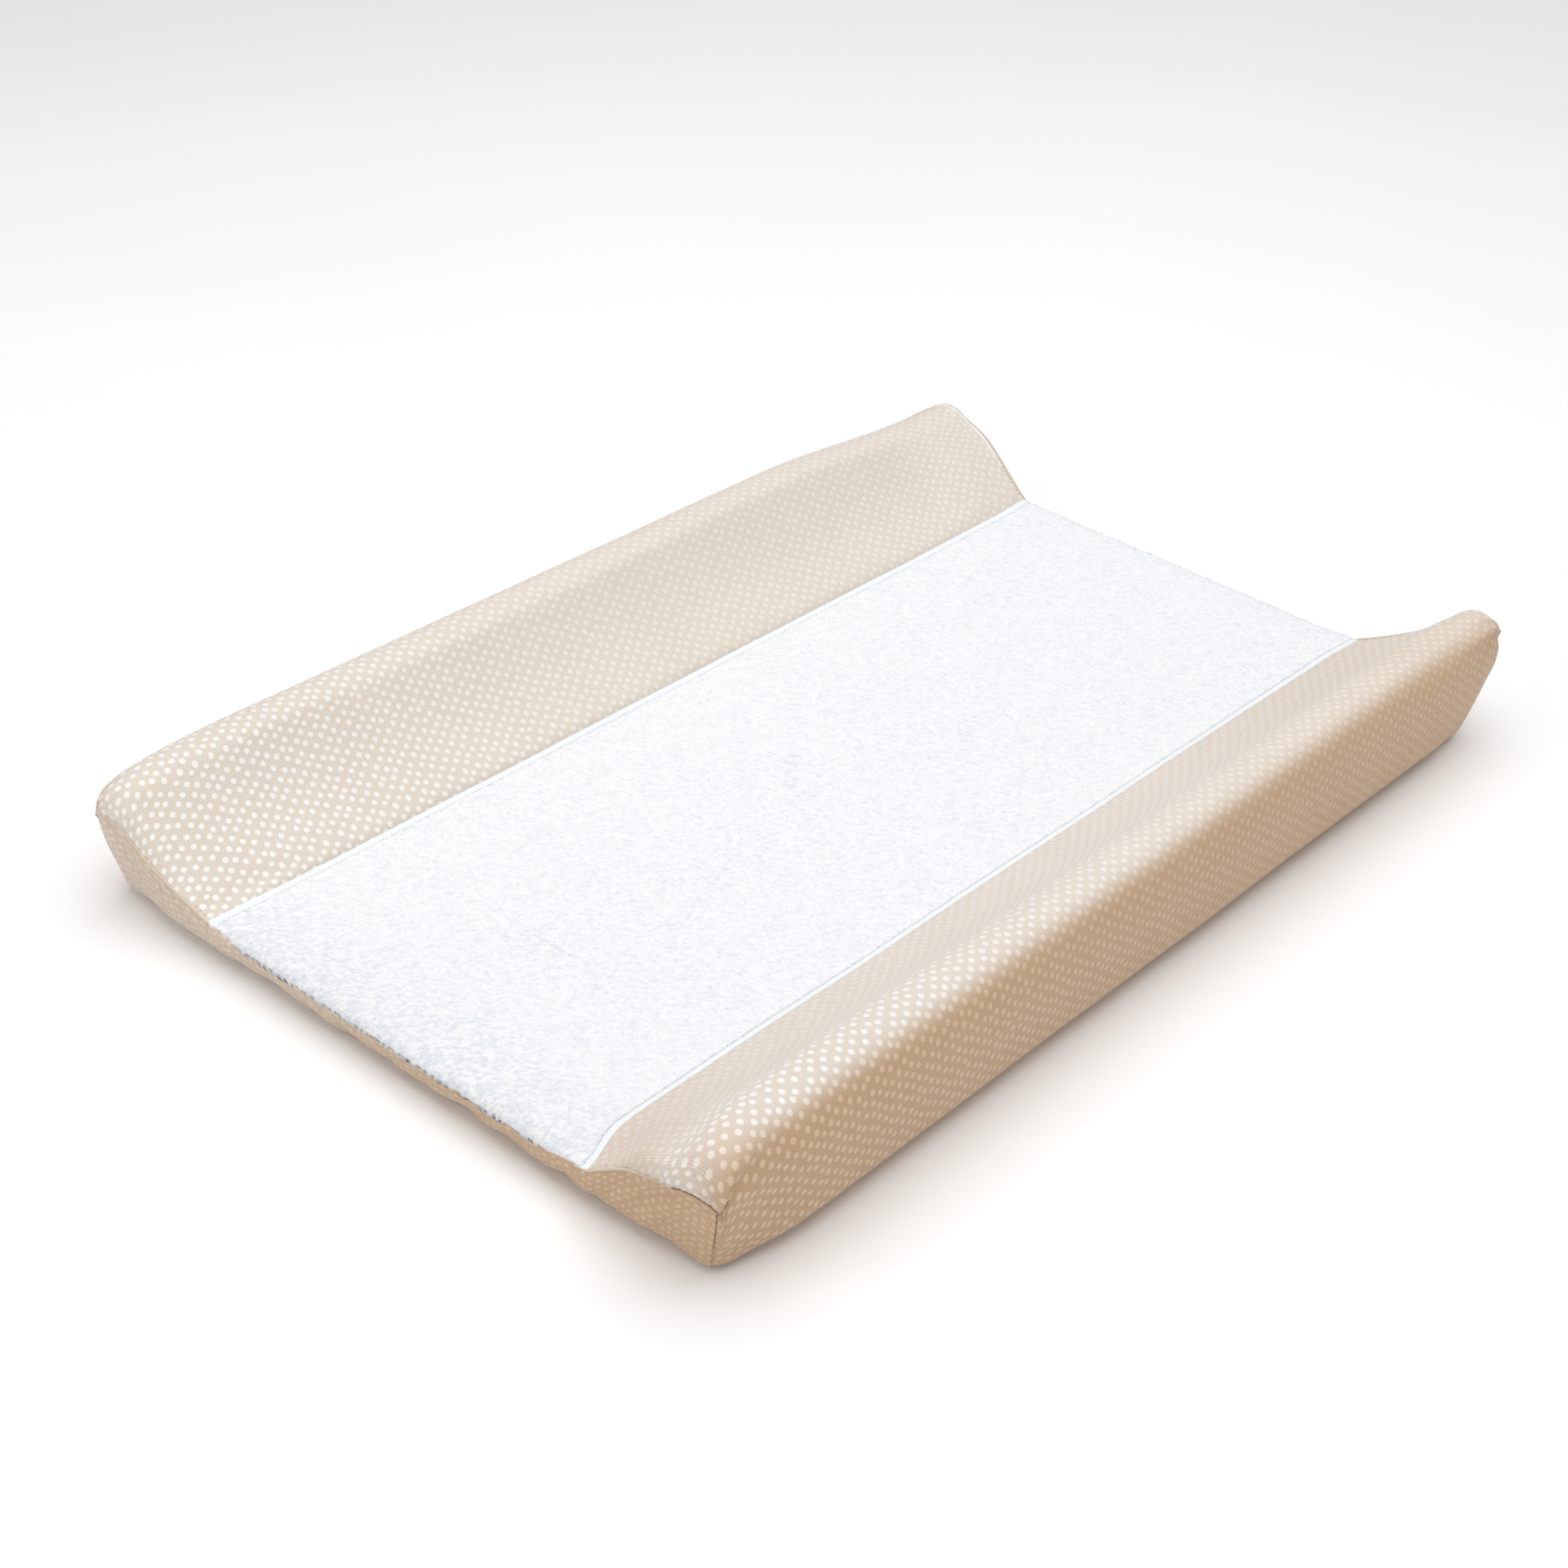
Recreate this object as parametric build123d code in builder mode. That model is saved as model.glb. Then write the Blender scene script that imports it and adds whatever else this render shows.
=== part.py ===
from build123d import *
import os
from math import acos, asin, atan2, degrees, sqrt

# Contoured changing pad: a foam core with two raised sides, sealed in a wipe-clean
# liner and dressed in a fitted cloth cover with an elastic hem.
# Millimetres. X across the pad, Y along it with the foot at -Y, Z up.
# The origin is on the floor, under the middle of the pad.

# overall sizes
pad_width = 450
pad_length = 710
rim_height = 82             # top of the raised sides
bowl_height = 26            # top of the terry pile the baby lies on

# cross-section
terry_width = 264           # across the terry and its two bindings
crest_radius = 17           # rounding on top of each raised side
bowl_radius = 200           # hollow of the inner slopes
foot_radius = 17            # rounding along the bottom edges
corner_radius = 12          # upright corners, seen from above

# ends of the raised sides
end_run = 70                # the arc that rounds the crest off starts this far from each end
end_lead = 2                # and this far above the crest, so that it crosses the crest's own
end_drop = 26               # rounding at an angle; at the end it is this far below the crest

# cover
cover_cloth = 1.0
terry_pile = 1.4            # the pile stands this far above the side cloth
binding_width = 4.5
binding_rise = 0.6
turn_under = 50             # cloth that goes under the pad
opening_radius = 45         # corners of the opening under the pad

# hem
hem_width = 14
hem_cloth = 0.8
hem_stitch_inset = 2        # from the outer edge of the casing
elastic_width = 8
elastic_thickness = 0.8
elastic_clearance = 0.1

# seams and stitching
end_seam_width = 2.0
corner_seam_width = 1.6
thread_width = 0.5
stitch_inset = 1.2          # the thread runs this far in from the edge of the binding

# liner
liner_skin = 0.6
eyelet_hole = 4
eyelet_flange = 9
eyelet_sheet = 0.25
eyelet_height = 34
eyelet_side = 39            # from the side of the pad to the middle of the eyelet

# care label
label_width = 30
label_length = 42
label_thickness = 0.3
label_across = 70           # from the middle of the pad to the middle of the label

# clearances
cover_clearance = 0.5       # cover to liner
foam_clearance = 0.4        # liner to foam
hem_clearance = 0.3         # top of the hem to the liner

# levels and insets worked out from the sizes above
cloth_level = bowl_height - terry_pile
liner_inset = cover_cloth + cover_clearance
foam_inset = liner_inset + liner_skin + foam_clearance
hem_height = 2 * hem_cloth + elastic_thickness + 2 * elastic_clearance
liner_floor = hem_height + hem_clearance
foam_floor = liner_floor + liner_skin + foam_clearance
half_terry = terry_width / 2
half_length = pad_length / 2
end_fall = end_lead + end_drop
end_radius = (end_run**2 + end_fall**2) / (2 * end_fall)
opening_width = pad_width - 2 * turn_under
opening_length = pad_length - 2 * turn_under
reach = pad_length + pad_width      # longer than anything that is cut with it

# The inner slope is one hollow arc: it starts at the terry seam and runs smoothly
# into the crest, so its centre lies one radius from the seam and clear of the crest.
crest_centre = Vector(pad_width / 2 - crest_radius, rim_height - crest_radius)
seam_point = Vector(half_terry, cloth_level)
span = (crest_centre - seam_point).length
along = (bowl_radius**2 - (bowl_radius + crest_radius) ** 2 + span**2) / (2 * span)
aside = sqrt(bowl_radius**2 - along**2)
heading = (crest_centre - seam_point).normalized()
bowl_centre = seam_point + heading * along + Vector(-heading.Y, heading.X) * aside


def section(inset, floor):
    """The cross-section, set in by inset from the outside of the cover."""
    side = pad_width / 2 - inset
    level = cloth_level - inset
    bowl = bowl_radius + inset
    slope_start = bowl_centre.X + sqrt(bowl**2 - (bowl_centre.Y - level) ** 2)
    first = degrees(atan2(level - bowl_centre.Y, slope_start - bowl_centre.X))
    last = degrees(atan2(crest_centre.Y - bowl_centre.Y, crest_centre.X - bowl_centre.X))
    foot_turn = degrees(asin((foot_radius - floor) / (foot_radius - inset)))
    foot_centre = (pad_width / 2 - foot_radius, foot_radius)
    with BuildSketch() as profile:
        with BuildLine():
            Polyline((0, floor), (0, level), (slope_start, level))
            CenterArc(bowl_centre, bowl, first, last - first)
            CenterArc(crest_centre, crest_radius - inset, last + 180, -(last + 180))
            Line((side, crest_centre.Y), (side, foot_radius))
            foot = CenterArc(foot_centre, foot_radius - inset, 0, -foot_turn)
            Line(foot @ 1, (0, floor))
        make_face()
        mirror(about=Plane.YZ)
    return profile.sketch


def side_view(inset, floor):
    """The outline seen from the side, with the crest falling to each end."""
    end = half_length - inset
    top = rim_height + end_lead
    fall_start = half_length - end_run
    fall = degrees(acos((end_run - inset) / (end_radius - inset)))
    foot_turn = degrees(asin((foot_radius - floor) / (foot_radius - inset)))
    foot_centre = (half_length - foot_radius, foot_radius)
    with BuildSketch() as profile:
        with BuildLine():
            Polyline((0, floor), (0, top - inset), (fall_start, top - inset))
            fall_centre = (fall_start, top - end_radius)
            crest_fall = CenterArc(fall_centre, end_radius - inset, 90, fall - 90)
            Line(crest_fall @ 1, (end, foot_radius))
            foot = CenterArc(foot_centre, foot_radius - inset, 0, -foot_turn)
            Line(foot @ 1, (0, floor))
        make_face()
        mirror(about=Plane.YZ)
    return profile.sketch


def pad_body(inset, floor):
    """The whole pad as a solid, set in from the outside of the cover."""
    with BuildPart() as body:
        with BuildSketch(Plane.XZ):
            add(section(inset, floor))
        extrude(amount=reach, both=True)
        with BuildSketch(Plane.YZ):
            add(side_view(inset, floor))
        extrude(amount=reach, both=True, mode=Mode.INTERSECT)
        with BuildSketch(Plane.XY):
            RectangleRounded(
                pad_width - 2 * inset, pad_length - 2 * inset, corner_radius - inset
            )
        extrude(amount=reach, both=True, mode=Mode.INTERSECT)
    return body.part


def side_to_side(low, high, near, far):
    """A bar across the whole pad, between two levels and two stations along Y."""
    with BuildPart() as bar:
        with BuildSketch(Plane.YZ):
            with Locations(((near + far) / 2, (low + high) / 2)):
                Rectangle(far - near, high - low)
        extrude(amount=reach, both=True)
    return bar.part


def end_to_end(inner, outer, low, high):
    """A bar along the whole pad, between two distances across and two levels."""
    with BuildPart() as bar:
        with BuildSketch(Plane.XZ):
            with Locations(((inner + outer) / 2, (low + high) / 2)):
                Rectangle(outer - inner, high - low)
        extrude(amount=reach, both=True)
    return bar.part


def corner_wedge(end):
    """The part of the plan nearer to one end than to either side."""
    tip = half_length - pad_width / 2
    with BuildPart() as wedge:
        with BuildSketch(Plane.XY):
            with BuildLine():
                Polyline(
                    (0, end * tip),
                    (pad_width, end * (tip + pad_width)),
                    (-pad_width, end * (tip + pad_width)),
                    close=True,
                )
            make_face()
        extrude(amount=reach, both=True)
    return wedge.part


def opening_ring(outer, inner, low, high):
    """A flat ring round the opening; outer and inner are set out from its edge."""
    with BuildPart() as ring:
        with BuildSketch(Plane.XY.offset(low)):
            RectangleRounded(
                opening_width + 2 * outer, opening_length + 2 * outer, opening_radius + outer
            )
            RectangleRounded(
                opening_width + 2 * inner,
                opening_length + 2 * inner,
                opening_radius + inner,
                mode=Mode.SUBTRACT,
            )
        extrude(amount=high - low)
    return ring.part


def finish(piece, name):
    piece.label = name
    export_step(piece, f"parts/{name}.step")


os.makedirs("parts", exist_ok=True)
hands = {"left": -1, "right": 1}
ends = {"foot": -1, "head": 1}

# ---------------------------------------------------------------- foam core
foam_shape = pad_body(foam_inset, foam_floor)
foam_level = cloth_level - foam_inset

with BuildPart() as foam_base:
    add(foam_shape)
    split(bisect_by=Plane.XY.offset(foam_level), keep=Keep.BOTTOM)
finish(foam_base.part, "foam_base")

for hand, sign in hands.items():
    with BuildPart() as foam_wedge:
        add(foam_shape)
        split(bisect_by=Plane.XY.offset(foam_level), keep=Keep.TOP)
        split(bisect_by=Plane.YZ, keep=Keep.TOP if sign > 0 else Keep.BOTTOM)
    finish(foam_wedge.part, f"foam_wedge_{hand}")

# ---------------------------------------------------------------- liner
liner_inside = liner_inset + liner_skin
liner_end = half_length - liner_inside

with BuildPart() as liner_skins:
    add(pad_body(liner_inset, liner_floor))
    add(pad_body(liner_inside, liner_floor + liner_skin), mode=Mode.SUBTRACT)

with BuildPart() as liner_bottom:
    add(liner_skins.part)
    split(bisect_by=Plane.XY.offset(liner_floor + liner_skin), keep=Keep.BOTTOM)
finish(liner_bottom.part, "liner_bottom")

with BuildPart() as liner_top:
    add(liner_skins.part)
    split(bisect_by=Plane.XY.offset(liner_floor + liner_skin), keep=Keep.TOP)
    add(side_to_side(-reach, reach, -liner_end, liner_end), mode=Mode.INTERSECT)
finish(liner_top.part, "liner_top")

eyelet_across = pad_width / 2 - eyelet_side
eyelet_places = [(sign * eyelet_across, eyelet_height) for sign in hands.values()]

for end_name, end in ends.items():
    with BuildPart() as liner_end_panel:
        add(liner_skins.part)
        split(bisect_by=Plane.XY.offset(liner_floor + liner_skin), keep=Keep.TOP)
        add(side_to_side(-reach, reach, -liner_end, liner_end), mode=Mode.SUBTRACT)
        split(bisect_by=Plane.XZ, keep=Keep.BOTTOM if end > 0 else Keep.TOP)
        with BuildSketch(Plane.XZ):
            with Locations(*eyelet_places):
                Circle(eyelet_hole / 2 + eyelet_sheet)
        extrude(amount=reach, both=True, mode=Mode.SUBTRACT)
    finish(liner_end_panel.part, f"liner_end_{end_name}")

# breather eyelets: a barrel through the liner with a flange on each face
with BuildPart() as vent_eyelets:
    for end in ends.values():
        face = Plane(
            origin=(0, end * (half_length - liner_inset), 0),
            x_dir=(-end, 0, 0),
            z_dir=(0, end, 0),
        )
        for back, depth, radius in (
            (0, eyelet_sheet, eyelet_flange / 2),
            (-liner_skin, liner_skin, eyelet_hole / 2 + eyelet_sheet),
            (-liner_skin - eyelet_sheet, eyelet_sheet, eyelet_flange / 2),
        ):
            with BuildSketch(face.offset(back)):
                with Locations(*eyelet_places):
                    Circle(radius)
                    Circle(eyelet_hole / 2, mode=Mode.SUBTRACT)
            extrude(amount=depth)
finish(vent_eyelets.part, "vent_eyelets")

# ---------------------------------------------------------------- cover
with BuildPart() as hem_space:
    with BuildSketch(Plane.XY):
        RectangleRounded(
            opening_width + 2 * hem_width,
            opening_length + 2 * hem_width,
            opening_radius + hem_width,
        )
    extrude(amount=foot_radius, both=True)

with BuildPart() as cover_skin:
    add(pad_body(0, 0))
    add(pad_body(cover_cloth, cover_cloth), mode=Mode.SUBTRACT)
    add(hem_space.part, mode=Mode.SUBTRACT)

# The end panel is the flat end, the rounded corner out to the corner seam and, below
# the bowl, everything out to the corner mitres. A band along its top is the end seam.
end_inside = half_length - cover_cloth
end_top = rim_height - end_drop
band_under = end_top - end_seam_width
below_bowl = cloth_level - liner_inset
corner_start = pad_width / 2 - corner_radius

with BuildPart() as under_band:
    with BuildSketch(Plane.XZ):
        add(section(end_seam_width, end_seam_width))
        with Locations((0, band_under + reach / 2)):
            Rectangle(reach, reach, mode=Mode.SUBTRACT)
    extrude(amount=reach, both=True)

with BuildPart() as corner_strips:
    with BuildSketch(Plane.XY):
        for sign in hands.values():
            for end in ends.values():
                with Locations(
                    Location(
                        (sign * pad_width / 2, end * half_length, 0), (0, 0, sign * end * 45)
                    )
                ):
                    Rectangle(2 * turn_under, corner_seam_width)
    extrude(amount=band_under)

with BuildPart() as corner_seams:
    add(cover_skin.part)
    add(corner_strips.part, mode=Mode.INTERSECT)
finish(corner_seams.part, "corner_seams")

end_zones = []
for end_name, end in ends.items():
    near, far = sorted((end * end_inside, end * reach))
    with BuildPart() as end_zone:
        add(side_to_side(-reach, below_bowl, min(0, end * reach), max(0, end * reach)))
        add(side_to_side(below_bowl, reach, near, far))
        for sign in hands.values():
            inner, outer = sorted((sign * corner_start, sign * reach))
            add(end_to_end(inner, outer, below_bowl, band_under))
        add(corner_wedge(end), mode=Mode.INTERSECT)
    end_zones.append(end_zone.part)

    with BuildPart() as cover_end:
        add(cover_skin.part)
        add(end_zone.part, mode=Mode.INTERSECT)
        add(corner_strips.part, mode=Mode.SUBTRACT)

    with BuildPart() as end_seam:
        add(cover_end.part)
        add(under_band.part, mode=Mode.SUBTRACT)
        add(side_to_side(cloth_level, reach, near, far), mode=Mode.INTERSECT)
        add(end_to_end(-half_terry, half_terry, -reach, reach), mode=Mode.SUBTRACT)
    finish(end_seam.part, f"end_seam_{end_name}")

    with BuildPart() as cover_end_panel:
        add(cover_end.part)
        add(end_seam.part, mode=Mode.SUBTRACT)
    finish(cover_end_panel.part, f"cover_end_{end_name}")

# side panels: from the terry seam over the crest, down the wall and under the pad
for hand, sign in hands.items():
    inner, outer = sorted((sign * half_terry, sign * reach))
    with BuildPart() as cover_side:
        add(cover_skin.part)
        for end_zone_part in end_zones:
            add(end_zone_part, mode=Mode.SUBTRACT)
        add(corner_strips.part, mode=Mode.SUBTRACT)
        add(end_to_end(inner, outer, -reach, reach), mode=Mode.INTERSECT)
    finish(cover_side.part, f"cover_side_{hand}")

# ---------------------------------------------------------------- terry panel
terry_half = half_terry - binding_width
panel_under = cloth_level - cover_cloth
thread_across = [sign * (terry_half + stitch_inset) for sign in hands.values()]

with BuildPart() as cover_terry_panel:
    with BuildSketch(Plane.XY.offset(panel_under)):
        Rectangle(2 * terry_half, 2 * end_inside)
    extrude(amount=bowl_height - panel_under)
finish(cover_terry_panel.part, "cover_terry_panel")

# the thread lies in a groove that it has pulled into each binding
with BuildPart() as binding_stitching:
    with BuildSketch(Plane.XY.offset(cloth_level + binding_rise)):
        for across in thread_across:
            with Locations((across, 0)):
                Rectangle(thread_width, 2 * end_inside)
    extrude(amount=-thread_width)
finish(binding_stitching.part, "binding_stitching")

for hand, sign in hands.items():
    with BuildPart() as terry_binding:
        with BuildSketch(Plane.XY.offset(panel_under)):
            with Locations((sign * (half_terry - binding_width / 2), 0)):
                Rectangle(binding_width, 2 * end_inside)
        extrude(amount=cover_cloth + binding_rise)
        add(binding_stitching.part, mode=Mode.SUBTRACT)
    finish(terry_binding.part, f"terry_binding_{hand}")

# ---------------------------------------------------------------- elastic hem
# The casing is folded like a C that opens outwards; the elastic lies in it and a
# row of stitches closes it.
elastic_start = hem_cloth + elastic_clearance
stitch_start = hem_width - hem_stitch_inset

with BuildPart() as hem_casing:
    add(opening_ring(hem_width, 0, 0, hem_cloth))
    add(opening_ring(hem_cloth, 0, hem_cloth, hem_height - hem_cloth))
    add(opening_ring(hem_width, 0, hem_height - hem_cloth, hem_height))
finish(hem_casing.part, "hem_casing")

with BuildPart() as hem_elastic:
    add(
        opening_ring(
            elastic_start + elastic_width,
            elastic_start,
            elastic_start,
            elastic_start + elastic_thickness,
        )
    )
finish(hem_elastic.part, "hem_elastic")

with BuildPart() as hem_stitching:
    add(opening_ring(stitch_start + thread_width, stitch_start, hem_cloth, hem_height - hem_cloth))
finish(hem_stitching.part, "hem_stitching")

# blank label sewn to the inner fold of the casing at the foot end
with BuildPart() as care_label:
    with BuildSketch(Plane.XY.offset(hem_height - label_thickness)):
        with Locations((label_across, (label_length - opening_length) / 2)):
            Rectangle(label_width, label_length)
    extrude(amount=label_thickness)
finish(care_label.part, "care_label")
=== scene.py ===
import bpy
import bmesh
import math
from mathutils import Matrix, Vector, noise
from mathutils.bvhtree import BVHTree


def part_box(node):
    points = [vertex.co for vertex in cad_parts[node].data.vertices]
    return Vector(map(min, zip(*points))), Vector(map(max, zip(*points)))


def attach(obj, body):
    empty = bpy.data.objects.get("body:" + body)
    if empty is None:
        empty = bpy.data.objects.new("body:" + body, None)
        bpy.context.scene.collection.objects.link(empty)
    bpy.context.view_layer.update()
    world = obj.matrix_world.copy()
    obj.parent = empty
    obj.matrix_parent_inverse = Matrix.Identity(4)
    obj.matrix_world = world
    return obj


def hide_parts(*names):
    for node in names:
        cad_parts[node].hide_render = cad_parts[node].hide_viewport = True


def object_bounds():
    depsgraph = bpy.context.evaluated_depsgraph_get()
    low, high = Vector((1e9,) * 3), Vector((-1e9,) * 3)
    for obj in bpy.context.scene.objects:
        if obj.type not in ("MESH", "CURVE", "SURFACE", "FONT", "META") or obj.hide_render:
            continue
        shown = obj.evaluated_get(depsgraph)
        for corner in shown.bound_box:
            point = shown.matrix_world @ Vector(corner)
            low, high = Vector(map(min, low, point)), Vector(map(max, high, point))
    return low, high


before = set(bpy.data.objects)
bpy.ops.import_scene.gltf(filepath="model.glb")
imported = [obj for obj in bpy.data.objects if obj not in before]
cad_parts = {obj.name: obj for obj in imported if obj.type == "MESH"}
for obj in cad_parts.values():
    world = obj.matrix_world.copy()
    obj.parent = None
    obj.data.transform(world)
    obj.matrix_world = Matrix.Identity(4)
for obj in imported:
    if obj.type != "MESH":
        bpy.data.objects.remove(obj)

cadLow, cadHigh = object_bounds()
mm = 0.001
deck = "root"            # the pad is one body
handNames = (("Left", -1), ("Right", 1))
endNames = (("Foot", -1), ("Head", 1))
bpy.ops.object.select_all(action="DESELECT")
print("frame loaded")

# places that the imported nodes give
halfWidth, halfLength, rimHeight = cadHigh
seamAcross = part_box("terry_binding_right")[1].x      # the terry seam, from the middle of the pad
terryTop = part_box("cover_terry_panel")[1].z
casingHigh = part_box("hem_casing")[1]
labelLow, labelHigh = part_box("care_label")
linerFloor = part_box("liner_bottom")[0].z
clothLevel = 24.6 * mm           # the height that the side cloth starts from


def inMm(**sizes):
    return {name: size * mm for name, size in sizes.items()}


# what a maker would change in the cut of the cover
padCut = inMm(
    slopeRadius=200,         # hollow of the inner slopes
    crestRadius=17,
    footRadius=19,           # roll under the bottom edge
    cornerRadius=13,         # upright corners, seen from above
    wallBelly=1.2,           # the wall stands proud by this much half-way up
    cornerFootRadius=7,
    leanAcross=6,            # the elastic draws the bottom of each corner in
    leanAhead=8.5,
    leanFrom=48,
    cornerReach=55,
    endReach=90,             # the ends shape the raised sides over this length
    pinch=2.6,               # the tips of the corners are sewn in this deep
    hemCornerRadius=59,      # outer edge of the hem casing, seen from below
    hemLap=1.5,              # the cover's cloth ends this far inside that edge
    seamTuck=0.8,            # the cloth stands this much proud of its seams
    clothThickness=0.9)
# how each raised side comes down to each end: hand -1 left, 1 right; end -1 foot, 1 head.
# drop and run are the fall at the end, lean and leanRun the gentler one before it, full a rounder
# slope, over and out the cloth past the end and the wall, pinch the depth of the corner's tip,
# bulge the cloth over the end seam, inward and forward the foot of the corner seam
endCut = {
    (-1, -1): inMm(drop=27, run=54, lean=3.5, leanRun=100, full=0, over=2.5, out=1.0, pinch=0.6,
                   bulge=0.4, inward=0, forward=0),
    (1, -1): inMm(drop=29, run=32, lean=2.5, leanRun=80, full=7, over=3.0, out=1.0, pinch=4.0,
                  bulge=4.0, inward=5, forward=3),
    (-1, 1): inMm(drop=12, run=13, lean=13, leanRun=185, full=9, over=9.0, out=0, pinch=1.0,
                  bulge=0, inward=0, forward=0),
    (1, 1): inMm(drop=7, run=13, lean=2.0, leanRun=120, full=1, over=9.0, out=1.5, pinch=0.5,
                 bulge=0, inward=0, forward=0),
}
# the terry seam spreads and dips, or rises, over its last stretch
seamEnd = {
    (-1, -1): inMm(spread=2, dip=0.5), (1, -1): inMm(spread=6, dip=2.0),
    (-1, 1): inMm(spread=-1, dip=-3.0), (1, 1): inMm(spread=1, dip=-3.5),
}
seamRun = inMm(last=34, drawnIn=2, raised=2.2, stray=0.7)


def smooth(value):
    value = min(1.0, max(0.0, value))
    return value * value * (3 - 2 * value)


def over(value, run):
    # rises smoothly from 0 to 1 while value goes from 0 to run millimetres
    return smooth(value / (run * mm))


def filled(far, run):
    # rises quickly from a seam, and is nearly 1 after a few runs of millimetres
    return 1 - math.exp(-far / (run * mm))


def mixed(a, b, share):
    return a + (b - a) * share


def unrest(x, y, z=0.0):
    return noise.noise(Vector((x, y, z)))


def endOf(y):
    return -1 if y < 0 else 1


def handOf(x):
    return 1 if x > 0 else -1


def nearEnd(y, reach):
    # 1 at both ends of the pad, 0 from reach inward
    return smooth(1 - (halfLength - abs(y)) / reach)


# The cross-section as a track: a distance along the cloth from the terry seam gives a
# place across the pad, a height, and how far in from the wall it lies.
slopeR, crestR, footR = padCut["slopeRadius"], padCut["crestRadius"], padCut["footRadius"]
hemLap = padCut["hemLap"]
crestAcross = halfWidth - crestR
crestHeight = rimHeight - crestR - padCut["seamTuck"]
chord = Vector((crestAcross - seamAcross, crestHeight - clothLevel))
chordPart = (slopeR ** 2 - (slopeR + crestR) ** 2 + chord.length ** 2) / (2 * chord.length)
chordWay = chord.normalized()
hollow = (Vector((seamAcross, clothLevel)) + chordWay * chordPart
          + Vector((-chordWay.y, chordWay.x)) * math.sqrt(slopeR ** 2 - chordPart ** 2))
slopeFrom = math.atan2(clothLevel - hollow.y, seamAcross - hollow.x)
slopeTo = math.atan2(crestHeight - hollow.y, crestAcross - hollow.x)
slopeLong = slopeR * (slopeTo - slopeFrom)
crestLong = crestR * (slopeTo + math.pi)
wallLong = crestHeight - footR
footLong = footR * math.pi / 2
underLong = halfWidth - footR - casingHigh.x + hemLap
wallStart = slopeLong + crestLong
footStart = wallStart + wallLong
underStart = footStart + footLong
sideLong = underStart + underLong
cornerAlong = slopeLong + crestLong * 0.72      # where the end seam turns into the corner seam


def section(along):
    if along < slopeLong:
        turn = slopeFrom + along / slopeR
        return hollow.x + slopeR * math.cos(turn), hollow.y + slopeR * math.sin(turn), 0.0
    if along < wallStart:
        turn = slopeTo + math.pi - (along - slopeLong) / crestR
        return crestAcross + crestR * math.cos(turn), crestHeight + crestR * math.sin(turn), 0.0
    if along < footStart:
        down = along - wallStart
        belly = padCut["wallBelly"] * math.sin(math.pi * down / wallLong)
        return halfWidth + belly, crestHeight - down, 0.0
    turn = min(along - footStart, footLong) / footR
    inset = footR * (1 - math.cos(turn))
    return halfWidth - inset, footR * (1 - math.sin(turn)), inset


def cornerInset(beyond):
    radius = padCut["cornerRadius"]
    beyond = min(max(beyond, 0.0), radius * math.sin(math.pi / 4))
    return radius - math.sqrt(radius ** 2 - beyond ** 2)


cornerCut = cornerInset(padCut["cornerRadius"])


def heightKept(ahead, hand, end):
    cut = endCut[hand, end]
    near = min(1.0, max(0.0, 1 - ahead / cut["run"]))
    early = smooth(1 - ahead / cut["leanRun"]) * cut["lean"]
    fall = 1 - (1 - near ** 2.5) ** (1 / 2.5)
    return 1 - (early + (cut["drop"] - early) * fall) / (rimHeight - clothLevel)


def ringPoint(x, y):
    # where cloth that comes from x, y meets the hem
    radius = padCut["hemCornerRadius"]
    outX, outY = casingHigh.x - hemLap, casingHigh.y - hemLap
    coreX, coreY = outX - radius, outY - radius
    px, py = abs(x), abs(y)
    if px > coreX and py > coreY:
        alongSide = halfWidth - px < halfLength - py
        if alongSide:
            turn = (py - coreY) / (halfLength - footR - 4 * mm - coreY) * math.pi / 4
        else:
            turn = math.pi / 2 - (px - coreX) / (halfWidth - footR - 4 * mm - coreX) * math.pi / 4
        px, py = coreX + radius * math.cos(turn), coreY + radius * math.sin(turn)
    elif px > coreX:
        px = outX
    else:
        py = outY
    return Vector((math.copysign(px, x), math.copysign(py, y), 1.5 * mm))


def seamPlace(hand, y):
    # the terry seam at this place along the pad
    cut = seamEnd[hand, endOf(y)]
    near = nearEnd(y, seamRun["last"])
    across = seamAcross - seamRun["drawnIn"] + near * (seamRun["drawnIn"] + cut["spread"])
    across += seamRun["stray"] * unrest(y / 0.09, hand * 3.1) * (1 - near)
    height = clothLevel + seamRun["raised"] - near * (seamRun["raised"] + cut["dip"])
    return Vector((hand * across, y, height))


def sideForm(hand, along, y):
    # a side panel before its corners are drawn in
    end = endOf(y)
    cut = endCut[hand, end]
    across, height, inset = section(along)
    ahead = halfLength - abs(y)
    near = nearEnd(y, padCut["endReach"])
    if height > clothLevel:
        height = clothLevel + (height - clothLevel) * heightKept(ahead, hand, end)
    if along < slopeLong:
        height += cut["full"] * math.sin(math.pi * along / slopeLong) * near
    around = over(along - cornerAlong, 14)
    limit = halfLength - inset - cornerCut * around
    draw = near * (halfLength - limit)
    reached = halfLength - ahead - draw
    rounding = cornerInset(reached - (halfLength - inset - padCut["cornerRadius"])) * around
    swell = over(along, 60) * over(footStart + 6 * mm - along, 45) * nearEnd(y, 34 * mm)
    reached += cut["over"] * swell
    rounding -= cut["out"] * swell
    point = Vector((hand * (across - rounding), end * reached, height))
    pinch = cut["pinch"] * math.exp(-((along - cornerAlong) / (11 * mm)) ** 2 - (ahead / (7 * mm)) ** 2)
    point += Vector((-hand * 0.55, -end * 0.75, -0.35)) * pinch
    start = section(0.0)
    toSeam = seamPlace(hand, y) - Vector((hand * start[0], y, start[1]))
    return point + toSeam * smooth(1 - along / (48 * mm))


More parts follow.
